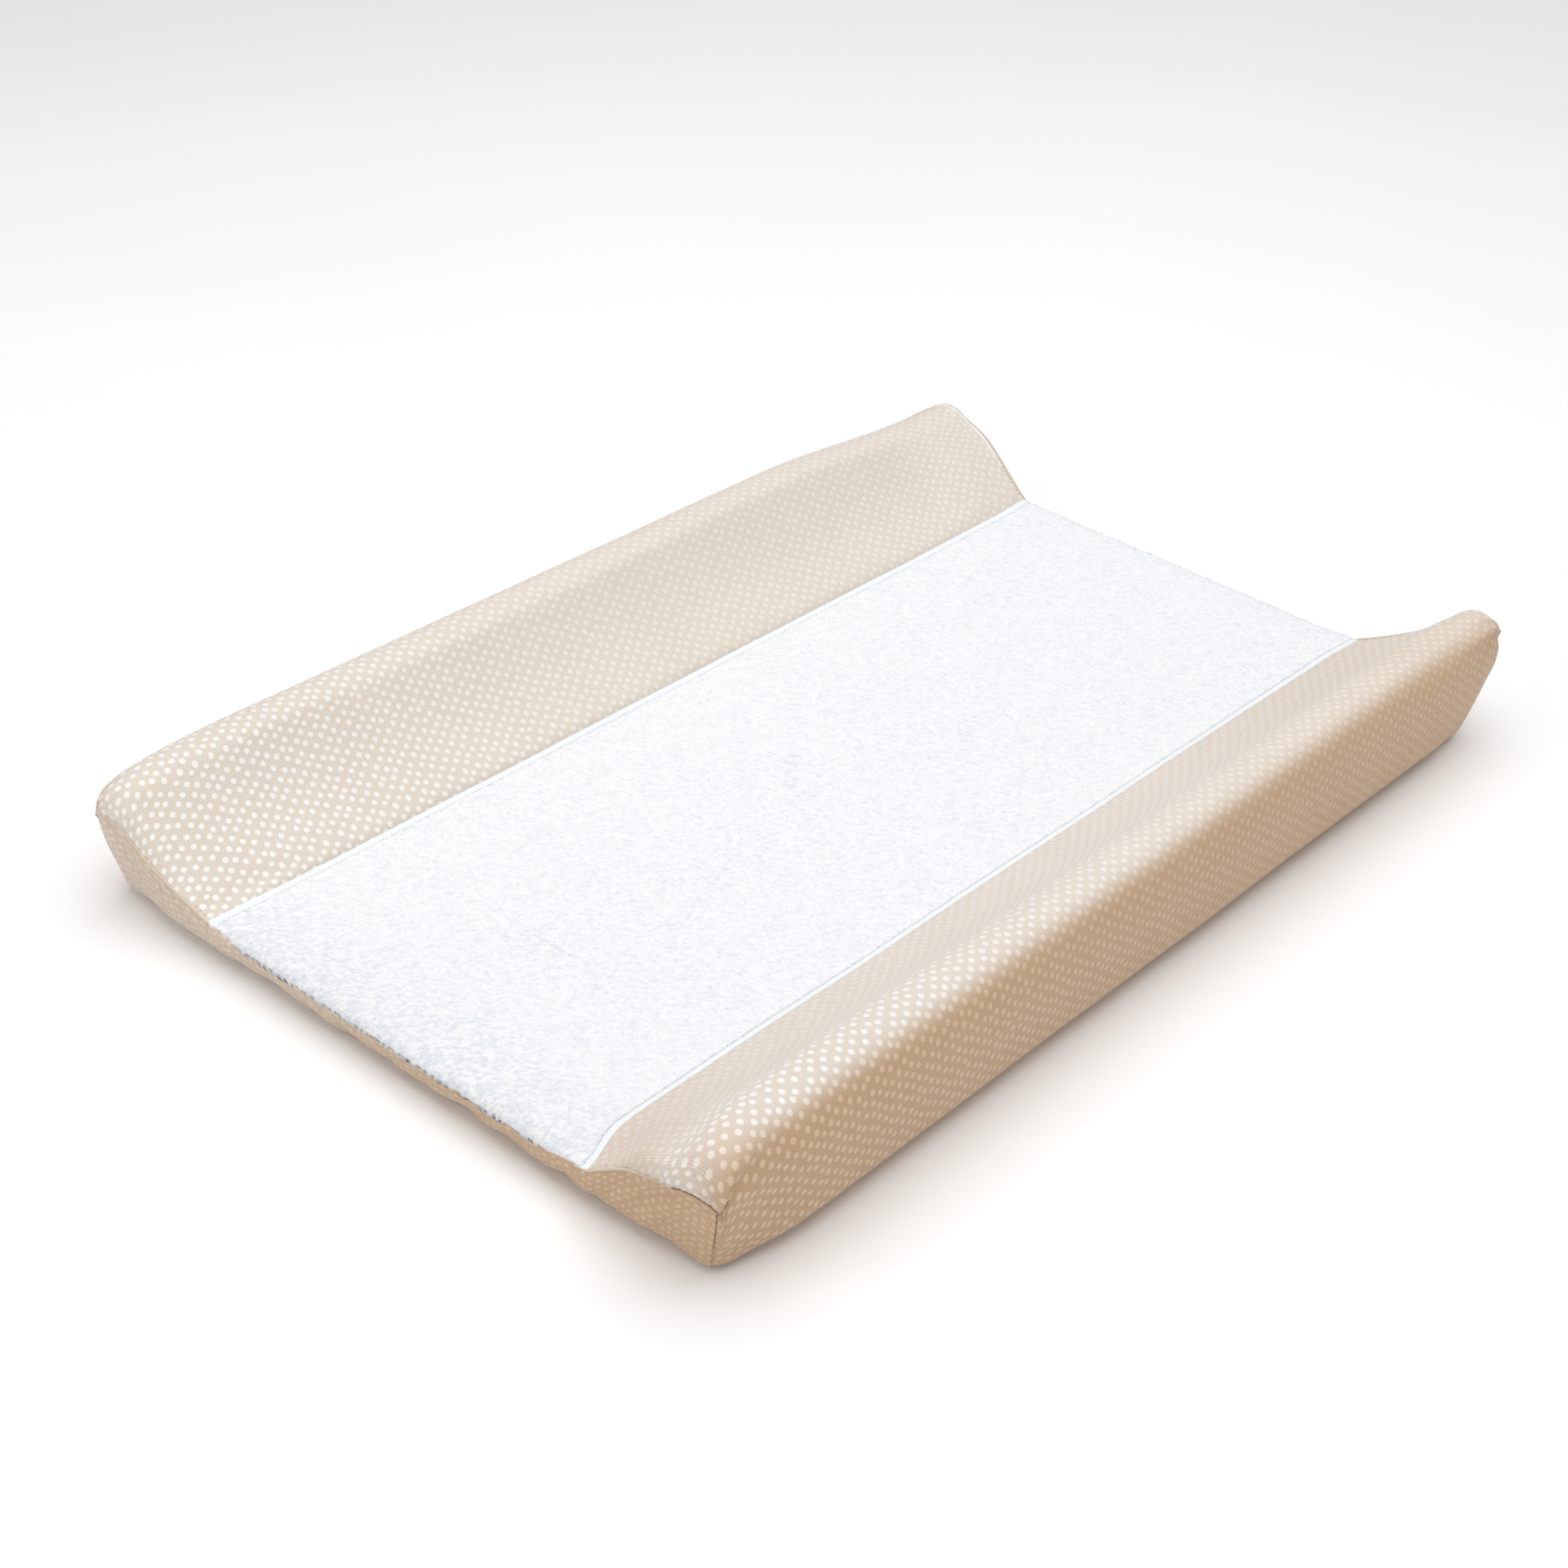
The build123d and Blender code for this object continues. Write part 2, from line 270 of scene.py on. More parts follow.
def cornerTrack(hand, end, row):
    # the corner seam; row runs from 0 at its top to 1 where the cloth turns under
    top = sideForm(hand, cornerAlong, end * halfLength)
    turnR = padCut["cornerFootRadius"]
    total = top.z - turnR + turnR * math.pi / 2
    down = row * total
    if down < top.z - turnR:
        height, inset = top.z - down, 0.0
    else:
        turn = (down - top.z + turnR) / turnR
        height, inset = turnR * (1 - math.sin(turn)), turnR * (1 - math.cos(turn))
    upright = min(1.0, height / min(top.z, padCut["leanFrom"]))
    leanAcross = padCut["leanAcross"] + endCut[hand, end]["inward"]
    x = mixed(halfWidth - cornerCut - leanAcross, abs(top.x), upright) - inset
    leanAhead = padCut["leanAhead"] - endCut[hand, end]["forward"]
    y = mixed(halfLength - cornerCut - leanAhead, abs(top.y), upright) - inset
    pinch = padCut["pinch"] * math.exp(-(down / (9 * mm)) ** 2) * over(down, 1.5)
    y -= pinch * 0.5
    x -= pinch * 0.5
    return Vector((hand * x, end * y, height))


def sidePoint(hand, along, y):
    # a point of a side panel; y is measured along the pad before the ends are shaped
    point = sideForm(hand, along, y)
    if along > cornerAlong:
        row = min(1.0, (along - cornerAlong) / (underStart - cornerAlong))
        drawn = cornerTrack(hand, endOf(y), row) - sideForm(hand, along, endOf(y) * halfLength)
        point += drawn * nearEnd(y, padCut["cornerReach"])
    if along > underStart:
        point = point.lerp(ringPoint(point.x, point.y), (along - underStart) / underLong)
    return point


def stationsBetween(start, stop, step):
    count = max(1, round((stop - start) / step))
    return [start + (stop - start) * i / count for i in range(count)]


# the places where rows of points stand, closer together where the form turns
alongStations = []
for start, stop, step in ((0, 12 * mm, 4), (12 * mm, slopeLong, 9), (slopeLong, cornerAlong, 4.5),
                          (cornerAlong, wallStart, 4), (wallStart, footStart, 8),
                          (footStart, underStart, 5), (underStart, sideLong, 6)):
    alongStations += stationsBetween(start, stop, step * mm)
alongStations.append(sideLong)
cornerIndex = alongStations.index(cornerAlong)
endSteps = [0, 3, 6, 9.5, 13.5, 18, 23, 29, 36, 44, 53, 63, 74, 86, 98]
innerEnd = halfLength - 110 * mm
lengthStations = ([-halfLength + step * mm for step in endSteps]
                  + stationsBetween(-innerEnd, innerEnd, 12.5 * mm) + [innerEnd]
                  + [halfLength - step * mm for step in reversed(endSteps)])


# shared mesh work
def linked(name, mesh):
    piece = bpy.data.objects.new(name, mesh)
    bpy.context.scene.collection.objects.link(piece)
    return piece


def pickOnly(piece):
    bpy.ops.object.select_all(action="DESELECT")
    bpy.context.view_layer.objects.active = piece
    piece.select_set(True)


def faceOut(mesh):
    form = bmesh.new()
    form.from_mesh(mesh)
    bmesh.ops.recalc_face_normals(form, faces=form.faces)
    form.to_mesh(mesh)
    form.free()


def clothGrid(name, rows, marks, flip=False):
    # one cloth from rows of points; marks are the places on the flat cut, kept as its UV map
    mesh = bpy.data.meshes.new(name)
    wide = len(rows[0])
    flat = [m for row in marks for m in row]
    faces = []
    for i in range(len(rows) - 1):
        for j in range(wide - 1):
            a = i * wide + j
            face = (a, a + 1, a + wide + 1, a + wide)
            faces.append(face[::-1] if flip else face)
    mesh.from_pydata([p for row in rows for p in row], [], faces)
    layer = mesh.uv_layers.new(name="cut")
    for loop in mesh.loops:
        layer.data[loop.index].uv = flat[loop.vertex_index]
    return linked(name, mesh)


def flatLengths(row):
    # distance of each point of a row from its middle, along the cloth
    lengths = [0.0]
    for a, b in zip(row, row[1:]):
        lengths.append(lengths[-1] + (b - a).length)
    middle = lengths[len(row) // 2] - row[len(row) // 2].y
    return [length - middle for length in lengths]


def edgeOf(rows):
    high, wide = len(rows), len(rows[0])
    return [i * wide + j for i in range(high) for j in range(wide) if i in (0, high - 1) or j in (0, wide - 1)]


def applied(piece, kind, **values):
    pickOnly(piece)
    modifier = piece.modifiers.new(kind.lower(), kind)
    for key, value in values.items():
        setattr(modifier, key, value)
    bpy.ops.object.modifier_apply(modifier=modifier.name)
    piece.select_set(False)


def smoothed(piece, levels):
    applied(piece, "SUBSURF", levels=levels, render_levels=levels, uv_smooth="NONE",
            boundary_smooth="PRESERVE_CORNERS")


def thickened(piece, thickness, offset=-1.0):
    applied(piece, "SOLIDIFY", thickness=thickness, offset=offset)
    piece.data.shade_smooth()


clothSettings = {"quality": 5, "mass": 0.3, "tension_stiffness": 18, "compression_stiffness": 12,
                 "bending_stiffness": 0.4, "vertex_group_mass": "sewn", "use_pressure": True}
settleFrames = 14


def settled(piece, sewn, pressure, cap):
    # blow the cloth out between its seams, and keep every point within cap of its cut place
    before = [v.co.copy() for v in piece.data.vertices]
    group = piece.vertex_groups.new(name="sewn")
    group.add(sewn, 1.0, "REPLACE")
    group.add([i for i, co in enumerate(before) if co.z < 6 * mm], 1.0, "REPLACE")
    cloth = piece.modifiers.new("settling", "CLOTH")
    cloth.point_cache.frame_start = 1
    cloth.point_cache.frame_end = settleFrames
    for key, value in clothSettings.items():
        setattr(cloth.settings, key, value)
    cloth.settings.uniform_pressure_force = pressure
    cloth.settings.effector_weights.gravity = 0
    for step in range(1, settleFrames + 1):
        bpy.context.scene.frame_set(step)
    pickOnly(piece)
    bpy.ops.object.modifier_apply(modifier="settling")
    bpy.context.scene.frame_set(1)
    for vertex, start in zip(piece.data.vertices, before):
        shift = vertex.co - start
        if shift.length > cap:
            shift *= cap / shift.length
        vertex.co = start + shift
    piece.vertex_groups.clear()
    piece.select_set(False)


def flatMarks(piece):
    # each point's place on the flat cut
    layer = piece.data.uv_layers["cut"]
    return {loop.vertex_index: layer.data[loop.index].uv.copy() for loop in piece.data.loops}


def creased(piece, rule):
    # move each point along its normal by what rule says for its place on the flat cut
    marks = flatMarks(piece)
    normals = [v.normal.copy() for v in piece.data.vertices]
    for vertex in piece.data.vertices:
        vertex.co += normals[vertex.index] * rule(marks[vertex.index], vertex.co)
    piece.data.update()


def marked(piece, name, rule):
    # a value from 0 to 1 for each point, by its place on the flat cut
    attribute = piece.data.attributes.new(name, "FLOAT", "POINT")
    for index, mark in flatMarks(piece).items():
        attribute.data[index].value = rule(mark.x, mark.y)


def raisedTo(piece, level):
    for vertex in piece.data.vertices:
        vertex.co.z = max(vertex.co.z, level)
    piece.data.update()


def onPad(piece, slotName, node, finishNames=()):
    # give the piece its finish, and let it stand for its CAD node
    piece.data.materials.clear()
    for name in finishNames or (slotName,):
        piece.data.materials.append(finishes[name])
    raisedTo(piece, 0.05 * mm)      # nothing sinks into the floor
    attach(piece, deck)
    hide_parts(node)


# materials; newFinish starts one, and the functions after it add nodes to the one started last
def newFinish(name, sockets):
    global tree, shader
    finish = bpy.data.materials.new(name)
    finish.use_nodes = True
    tree = finish.node_tree
    shader = tree.nodes["Principled BSDF"]
    for key, value in sockets.items():
        shader.inputs[key].default_value = value
    return finish


def addNode(kind, links=(), **values):
    # links maps an input's number or name to an output or a number; values are node settings
    made = tree.nodes.new(kind)
    for key, value in values.items():
        setattr(made, key, value)
    for key, value in dict(links).items():
        if isinstance(value, bpy.types.NodeSocket):
            tree.links.new(value, made.inputs[key])
        else:
            made.inputs[key].default_value = value
    return made


def sums(operation, *parts):
    return addNode("ShaderNodeMath", enumerate(parts), operation=operation).outputs[0]


def times(a, b):
    return sums("MULTIPLY", a, b)


def timesPlus(a, b, c):
    return sums("MULTIPLY_ADD", a, b, c)


def vectorSums(operation, *parts, output=0):
    return addNode("ShaderNodeVectorMath", enumerate(parts), operation=operation).outputs[output]


def faded(value, *limits):
    # limits are from low, from high and, where they aren't 0 and 1, to low, to high
    links = dict(enumerate((value, *limits)))
    return addNode("ShaderNodeMapRange", links, interpolation_type="SMOOTHSTEP").outputs[0]


def blended(share, a, b):
    return addNode("ShaderNodeMix", {0: share, 6: a, 7: b}, data_type="RGBA").outputs[2]


def patches(place, scale, detail=2.0):
    return addNode("ShaderNodeTexNoise", {"Vector": place, "Scale": scale, "Detail": detail}).outputs[0]


def pointValue(name):
    return addNode("ShaderNodeAttribute", attribute_name=name).outputs["Fac"]


def objectPlace():
    return addNode("ShaderNodeTexCoord").outputs["Object"]


def into(socket, value):
    tree.links.new(value, shader.inputs[socket])


def raised(height, distance, strength):
    into("Normal", addNode("ShaderNodeBump", {"Height": height, "Distance": distance,
                                              "Strength": strength}).outputs[0])


# the cloth's colours: the tan ones are its own, the pale ones are painted light, a lit copy that the slopes
# take
dottedCloth = {
    "tan": (0.488, 0.315, 0.177, 1),         # walls: the cloth's own tan
    "tanLight": (0.598, 0.410, 0.252, 1),
    "dot": (0.735, 0.545, 0.370, 1),
    "pale": (0.640, 0.550, 0.465, 1),        # slopes: painted light, the paler lit copy of the cloth
    "paleLight": (0.780, 0.705, 0.630, 1),
    # painted highlight: the dots on the lit slopes, painted near white
    "paleDot": (0.930, 0.910, 0.880, 1),
    "dotAcross": 7.2 * mm,       # from dot to dot in a column, along the section
    "dotApart": 10.2 * mm,       # two columns
    "dotRadius": 1.68 * mm,
    "dotEdge": 0.08 * mm,
    "dotStray": 1.6 * mm,
    "ribPitch": 0.95 * mm,
    "threadPitch": 0.62 * mm,    # across the ribs
    "ribHigh": 0.16 * mm,
}


def dotPattern(place, cut):
    # round dots in two shifted grids, each dot strayed by chance
    dots = None
    cell = (cut["dotAcross"], cut["dotApart"], 1.0)
    for shift in (0.0, 0.5):
        moved = vectorSums("ADD", vectorSums("DIVIDE", place, cell), (shift, shift, 0.0))
        number = vectorSums("FLOOR", moved)
        inside = vectorSums("SUBTRACT", vectorSums("SUBTRACT", moved, number), (0.5, 0.5, 0.0))
        seed = vectorSums("ADD", number, (shift * 31, 7.0, 0.0))
        chance = addNode("ShaderNodeTexWhiteNoise", {"Vector": seed}).outputs["Color"]
        stray = vectorSums("MULTIPLY", vectorSums("SUBTRACT", chance, (0.5, 0.5, 0.5)),
                           (cut["dotStray"], cut["dotStray"], 0.0))
        away = vectorSums("ADD", vectorSums("MULTIPLY", inside, cell), stray)
        far = vectorSums("LENGTH", away, output=1)
        dot = faded(far, cut["dotRadius"] - cut["dotEdge"], cut["dotRadius"] + cut["dotEdge"], 1.0, 0.0)
        dots = dot if dots is None else sums("MAXIMUM", dots, dot)
    return dots


def dottedClothFinish():
    cut = dottedCloth
    finish = newFinish("dottedCloth", {"Roughness": 0.62, "Sheen Weight": 0.25, "Sheen Roughness": 0.4})
    place = addNode("ShaderNodeUVMap", uv_map="cut").outputs[0]
    dots = dotPattern(place, cut)
    split = addNode("ShaderNodeSeparateXYZ", {0: place})
    wander = times(patches(place, 160.0), 5.0)
    turns = times(split.outputs[1], 2 * math.pi / cut["ribPitch"])
    ribs = timesPlus(sums("SINE", sums("ADD", turns, wander)), 0.5, 0.5)
    acrossRibs = sums("SINE", times(split.outputs[0], 2 * math.pi / cut["threadPitch"]))
    weave = timesPlus(acrossRibs, 0.16, ribs)
    threads = patches(vectorSums("MULTIPLY", place, (500.0, 2600.0, 1.0)), 1.0, 3.0)
    wearAndLightPatches = patches(place, 14.0, 4.0)
    mottle = faded(timesPlus(threads, 0.45, times(weave, 0.5)), 0.2, 0.75)
    # painted light: where light falls on the slopes, the cloth and its dots are painted pale; on the walls they
    # stay tan. Random patches also vary it.
    nap = faded(timesPlus(wearAndLightPatches, 0.1, pointValue("nap")), 0.05, 1.05)
    dark = blended(nap, cut["tan"], cut["pale"])
    light = blended(nap, cut["tanLight"], cut["paleLight"])
    ground = blended(mottle, dark, light)
    ground = blended(faded(wearAndLightPatches, 0.35, 0.75, 0.0, 0.22), ground, light)
    # painted highlight: the dots are painted brighter where a highlight would fall on them
    strength = times(faded(weave, 0.0, 1.1, 0.7, 1.0), pointValue("fresh"))
    dotColour = blended(nap, cut["dot"], cut["paleDot"])
    into("Base Color", blended(times(dots, strength), ground, dotColour))
    into("Roughness", faded(dots, 0.0, 1.0, 0.66, 0.42))
    raised(timesPlus(dots, 0.35, weave), cut["ribHigh"], 0.8)
    return finish


terryPile = {
    "white": (0.905, 0.905, 0.92, 1),
    "shade": (0.62, 0.68, 0.76, 1),
    "loopWidth": 1.5 * mm,
    "loopDeep": 0.9 * mm,
}


def terryFinish():
    finish = newFinish("terryPile", {"Roughness": 0.9, "Sheen Weight": 0.4, "Sheen Roughness": 0.6})
    place = objectPlace()
    jumble = addNode("ShaderNodeTexVoronoi", {"Vector": place, "Scale": 1 / terryPile["loopWidth"]},
                     feature="SMOOTH_F1").outputs["Distance"]
    height = timesPlus(patches(place, 1800.0), 0.5, sums("SUBTRACT", 1.0, jumble))
    # painted shade: the blue-grey shade colour darkens the terry where its loops stand low, standing in for
    # shadow between them
    shadeShare = times(faded(pointValue("pile"), 0.15, 0.65, 1.0, 0.0),
                       faded(patches(place, 12.0), 0.3, 0.8, 0.45, 0.6))
    into("Base Color", blended(shadeShare, terryPile["white"], terryPile["shade"]))
    raised(height, terryPile["loopDeep"], 1.0)
    return finish


def camelCase(slotName):
    first, *rest = slotName.split("_")
    return first + "".join(word.title() for word in rest)


def plainFinish(slotName, base, second, scale, roughness, bump, sockets=()):
    finish = newFinish(camelCase(slotName), dict(sockets))
    place = objectPlace()
    fine = patches(place, scale, 3.0)
    share = timesPlus(fine, 0.6, times(patches(place, 25.0, 3.0), 0.4))
    into("Base Color", blended(faded(share, 0.3, 0.7), base, second))
    into("Roughness", faded(fine, 0.2, 0.8, roughness - 0.08, roughness + 0.08))
    raised(fine, bump * mm, 0.6)
    return finish


def threadFinish(slotName, base, dark):
    finish = newFinish(camelCase(slotName), {"Sheen Weight": 0.3})
    place = objectPlace()
    twist = addNode("ShaderNodeTexWave", {"Vector": place, "Scale": 900.0, "Distortion": 2.0},
                    wave_type="BANDS", bands_direction="DIAGONAL").outputs["Fac"]
    into("Base Color", blended(faded(twist, 0.0, 1.0, 0.0, 0.7), base, dark))
    into("Roughness", faded(patches(place, 2500.0), 0.2, 0.8, 0.5, 0.75))
    raised(twist, 0.1 * mm, 0.6)
    return finish


# two colours, grain scale, roughness, bump in mm, and what else the shader is set to
plainCut = {
    "binding_tape": ((0.76, 0.80, 0.825, 1), (0.82, 0.85, 0.87, 1), 900.0, 0.6, 0.15, {"Sheen Weight": 0.3}),
    "foam": ((0.80, 0.74, 0.56, 1), (0.66, 0.60, 0.43, 1), 1400.0, 0.9, 0.4),
    "liner_vinyl": ((0.78, 0.79, 0.80, 1), (0.86, 0.87, 0.88, 1), 700.0, 0.42, 0.06),
    "eyelet_metal": ((0.62, 0.62, 0.63, 1), (0.48, 0.48, 0.50, 1), 1500.0, 0.32, 0.02, {"Metallic": 1.0}),
    "elastic": ((0.82, 0.82, 0.80, 1), (0.70, 0.70, 0.68, 1), 1500.0, 0.7, 0.2),
    "label_tape": ((0.88, 0.88, 0.87, 1), (0.80, 0.80, 0.79, 1), 1300.0, 0.5, 0.05),
}
threadCut = {
    "seam_thread": ((0.38, 0.27, 0.17, 1), (0.26, 0.17, 0.10, 1)),
    "seam_shadow": ((0.330, 0.205, 0.115, 1), (0.180, 0.105, 0.060, 1)),
    "corner_fold": ((0.46, 0.32, 0.20, 1), (0.36, 0.24, 0.14, 1)),
    "seam_fold": ((0.71, 0.60, 0.47, 1), (0.56, 0.44, 0.32, 1)),
    "white_thread": ((0.88, 0.90, 0.93, 1), (0.66, 0.70, 0.76, 1)),
}
finishes = {"dotted_cloth": dottedClothFinish(), "terry": terryFinish()}
for slotName, values in plainCut.items():
    finishes[slotName] = plainFinish(slotName, *values)
for slotName, values in threadCut.items():
    finishes[slotName] = threadFinish(slotName, *values)
print("finishes made")


# the raised side panels
sideCut = {"pressure": 3.0, "cap": 1.6 * mm, "gatherDeep": 0.9 * mm, "waveHigh": 0.55 * mm,
           "drawnHigh": 0.55 * mm, "lowest": 0.2 * mm}


def sideCrease(hand):
    def rule(mark, co):
        along, y = mark.x, mark.y
        row = sideMarks[hand][min(range(len(alongStations)), key=lambda i: abs(alongStations[i] - along))]
        stretch = abs(row[0 if y < 0 else -1][1]) - halfLength      # the cloth is this much longer than the pad
        ahead = max(0.0, halfLength + stretch - abs(y))
        end = endOf(y)
        proud = filled(ahead, 3.5) * filled(along, 3.5) * padCut["seamTuck"] * over(sideLong - along, 20)
        bulge = filled(ahead, 3) * math.exp(-ahead / (20 * mm)) * endCut[hand, end]["bulge"]
        proud += bulge * over(along - 25 * mm, 35) * over(footStart - along, 30)
        broad = sideCut["waveHigh"] * unrest(along / 0.055, y / 0.085, hand * 5) * over(ahead, 30)
        broad *= over(along, 25) * over(underStart - along, 20)
        fromCorner = math.hypot((along - cornerAlong) * 0.7, ahead)
        nearCorner = smooth(1 - fromCorner / (55 * mm)) * over(ahead, 4)
        turn = math.atan2(ahead, along - cornerAlong)
        pleats = math.sin(turn * 9 + 5 * unrest(y / 0.05, along / 0.05, hand * 2.0 + end))
        gather = 0.0
        if along > footStart:
            share = over(along - footStart, 26) * smooth(halfWidth - abs(co.x) + 0.02)
            gather = sideCut["gatherDeep"] * share * (unrest(y / 0.012, hand * 3.3, along / 0.05) - 0.2)
        return proud + broad + sideCut["drawnHigh"] * nearCorner * pleats + gather
    return rule


# painted light: how much paler the cloth is painted where light falls on it; below, how bright its dots are
# painted as a highlight
def sidePaintedLight(hand):
    def rule(along, y):
        wall = smooth((along - slopeLong - crestLong * 0.42) / (crestLong * 0.5))
        if hand < 0:
            return 1 - wall
        nearFoot = smooth(1 - (y + halfLength) / (190 * mm))
        fromCorner = math.hypot(along - cornerAlong, y + halfLength)
        top = mixed(1.0, 0.68, nearFoot * over(slopeLong - along, 30))
        top *= mixed(1.0, 0.5, smooth(1 - fromCorner / (50 * mm)))
        return top * mixed(1.0, 0.72, over(y, 300)) * (1 - wall)
    return rule


# painted highlight: how bright the dots are painted, strongest towards the foot on the left slope and on the
# right crest
def sideDotHighlight(hand):
    def rule(along, y):
        part = 0.5 + y / (2 * halfLength)
        if hand < 0:
            return mixed(1.0, 0.45, smooth(part / 0.55))
        crest = over(along - slopeLong * 0.82, 12)
        return mixed(mixed(0.4, 1.0, crest), 0.5, smooth(part / 0.65))
    return rule


def panelSewn(piece, rows, cut, crease, nap, fresh):
    # settle, refine and crease a panel of the cover, then give it its thickness
    settled(piece, edgeOf(rows), cut["pressure"], cut["cap"])
    smoothed(piece, 2)
    creased(piece, crease)
    raisedTo(piece, sideCut["lowest"])
    marked(piece, "nap", nap)
    marked(piece, "fresh", fresh)
    thickened(piece, padCut["clothThickness"])


sides, sideRows, sideMarks = {}, {}, {}
for name, hand in handNames:
    rows = [[sidePoint(hand, along, y) for y in lengthStations] for along in alongStations]
    marks = [[(along, y) for y in flatLengths(row)] for along, row in zip(alongStations, rows)]
    sideRows[hand], sideMarks[hand] = rows, marks
    piece = clothGrid("coverSide" + name, rows, marks, flip=hand > 0)
    panelSewn(piece, rows, sideCut, sideCrease(hand), sidePaintedLight(hand), sideDotHighlight(hand))
    onPad(piece, "dotted_cloth", "cover_side_" + name.lower())
    sides[hand] = piece
print("side panels sewn")


# the end panels, from the end seam down, round the bottom edge and under to the hem
endPanelCut = {"pressure": 2.0, "cap": 1.2 * mm, "pucker": 1.7 * mm, "puckerWide": 12 * mm,
               "tuck": 1.2 * mm, "proud": 0.8 * mm, "gatherDeep": 0.8 * mm, "shapedShare": 0.66}
terryRoll = {-1: 21.0 * mm, 1: 26.5 * mm}       # how high the terry's end stands, foot and head
terryColumns = 29
endRowsAlong = [(a - cornerAlong) / (sideLong - cornerAlong) for a in alongStations[cornerIndex:]]


def endColumn(end):
    return 0 if end < 0 else -1


def terryEdgeHeight(x, end):
    # the end of the terry rolls over the edge of the pad
    share = min(1.0, abs(x) / seamAcross)
    atSeam = seamPlace(math.copysign(1, x or 1), end * halfLength).z
    edge = mixed(terryRoll[end], atSeam - 0.4 * mm, smooth((share - 0.82) / 0.18))
    return edge + 0.7 * mm * unrest(x / 0.022, end * 4.0) * smooth((1 - share) / 0.1)


def endSection(top, row):
    # row runs from 0 at the seam to 1 at the hem; gives a height and how far in it lies
    wall = max(0.0, top - footR)
    total = wall + footLong + underLong
    down = row * total
    if down < wall:
        return top - down, -padCut["wallBelly"] * 0.6 * math.sin(math.pi * down / max(wall, mm))
    startTurn = math.asin(min(1.0, max(0.0, 1 - min(top, footR) / footR)))
    reach = footLong - startTurn * footR
    turn = startTurn + min(down - wall, reach) / footR
    return footR * (1 - math.sin(turn)), footR * (1 - math.cos(turn)) - footR * (1 - math.cos(startTurn))


def endForm(top, end, row, share):
    # a point of an end panel before its corners are drawn in; share runs to 1 at the corner
    height, inset = endSection(top.z, row)
    reached = abs(top.y) - smooth(row / 0.12) * max(0.0, abs(top.y) - halfLength) - inset
    x = top.x * (1 - smooth((share - 0.5) / 0.5) * cornerCut / halfWidth * smooth(row / 0.2))
    rounding = cornerInset(abs(x) - halfWidth + padCut["cornerRadius"]) * smooth(row / 0.2)
    return Vector((x, end * (reached - rounding), height))


def endTops(end):
    # the top row: the end of one side panel, the terry's edge, and the end of the other
    column = endColumn(end)
    left = [sideRows[-1][i][column] for i in range(cornerIndex, -1, -1)]
    right = [sideRows[1][i][column] for i in range(cornerIndex + 1)]
    tops = [p.copy() for p in left]
    for i in range(1, terryColumns):
        x = mixed(left[-1].x, right[0].x, i / terryColumns)
        tuck = endPanelCut["tuck"] * smooth(min(i, terryColumns - i) / 3)
        tops.append(Vector((x, end * (halfLength - tuck), terryEdgeHeight(x, end) - tuck)))
    return tops + [p.copy() for p in right]


def endPanelPoints(end):
    column, tops, rows = endColumn(end), endTops(end), []
    for r, row in enumerate(endRowsAlong):
        line = []
        for top in tops:
            hand = handOf(top.x)
            edgeTop = sideRows[hand][cornerIndex][column]
            corner = sideRows[hand][cornerIndex + r][column]
            wall = max(0.0, top.z - footR)
            underRow = (wall + footLong) / (wall + footLong + underLong)
            point = endForm(top, end, min(row, underRow), min(1.0, abs(top.x / edgeTop.x)))
            edge = endForm(edgeTop, end, min(row, underRow), 1.0)
            if row > underRow:
                under = (row - underRow) / (1 - underRow)
                point = point.lerp(ringPoint(point.x, point.y), under)
                edge = edge.lerp(ringPoint(edge.x, edge.y), under)
            near = smooth(1 - (abs(edgeTop.x) - abs(top.x)) / padCut["cornerReach"])
            line.append(top.copy() if r == 0 else point + (corner - edge) * near)
        line[0], line[-1] = [sideRows[hand][cornerIndex + r][column].copy() for hand in (-1, 1)]
        rows.append(line)
    return rows


def endCrease(end):
    def rule(mark, co):
        down, x = mark.x, mark.y
        edge = halfWidth - abs(co.x)
        proud = filled(down, 3.5) * filled(max(edge - cornerCut, 0), 5)
        pucker = unrest((x + handOf(x) * 0.7 * down) / endPanelCut["puckerWide"], down / 0.05, end * 9.0)
        pucker *= endPanelCut["pucker"] * over(down, 4) * over(60 * mm - down, 30)
        gather = endPanelCut["gatherDeep"] * over(down - 40 * mm, 20) * (unrest(x / 0.012, end * 6.0) - 0.2)
        return proud * endPanelCut["proud"] + pucker * over(edge, 25) + gather * over(edge - 20 * mm, 20)
    return rule


def endPaintedLight(down, x):
    return mixed(0.55, 0.05, smooth(0.5 + x / 0.36))       # painted light: paler towards the left, where the light falls


ends, endRows = {}, {}
for name, end in endNames:
    rows = endRows[end] = endPanelPoints(end)
    marks = [[(row * (sideLong - cornerAlong), p.x) for p in rows[0]] for row in endRowsAlong]
    piece = clothGrid("coverEnd" + name, rows, marks, flip=end < 0)
    panelSewn(piece, rows, endPanelCut, endCrease(end), endPaintedLight, lambda down, x: 0.7)
    onPad(piece, "dotted_cloth", "cover_end_" + name.lower())
    ends[end] = piece
print("end panels sewn")


# the terry panel with its pile
terryCut = inMm(
    step=1.75, tuftApart=1.55, loopHigh=0.5,
    footEnd=-0.7, headEnd=1.0,       # past the ends of the pad
    marginLeft=4.0, marginRight=3.2,     # short of the seams
    deep=2.2, sag=0.8, wave=0.35, footRise=0.4, headRise=2.6, riseRun=120, rollRun=9, brushedRun=60)


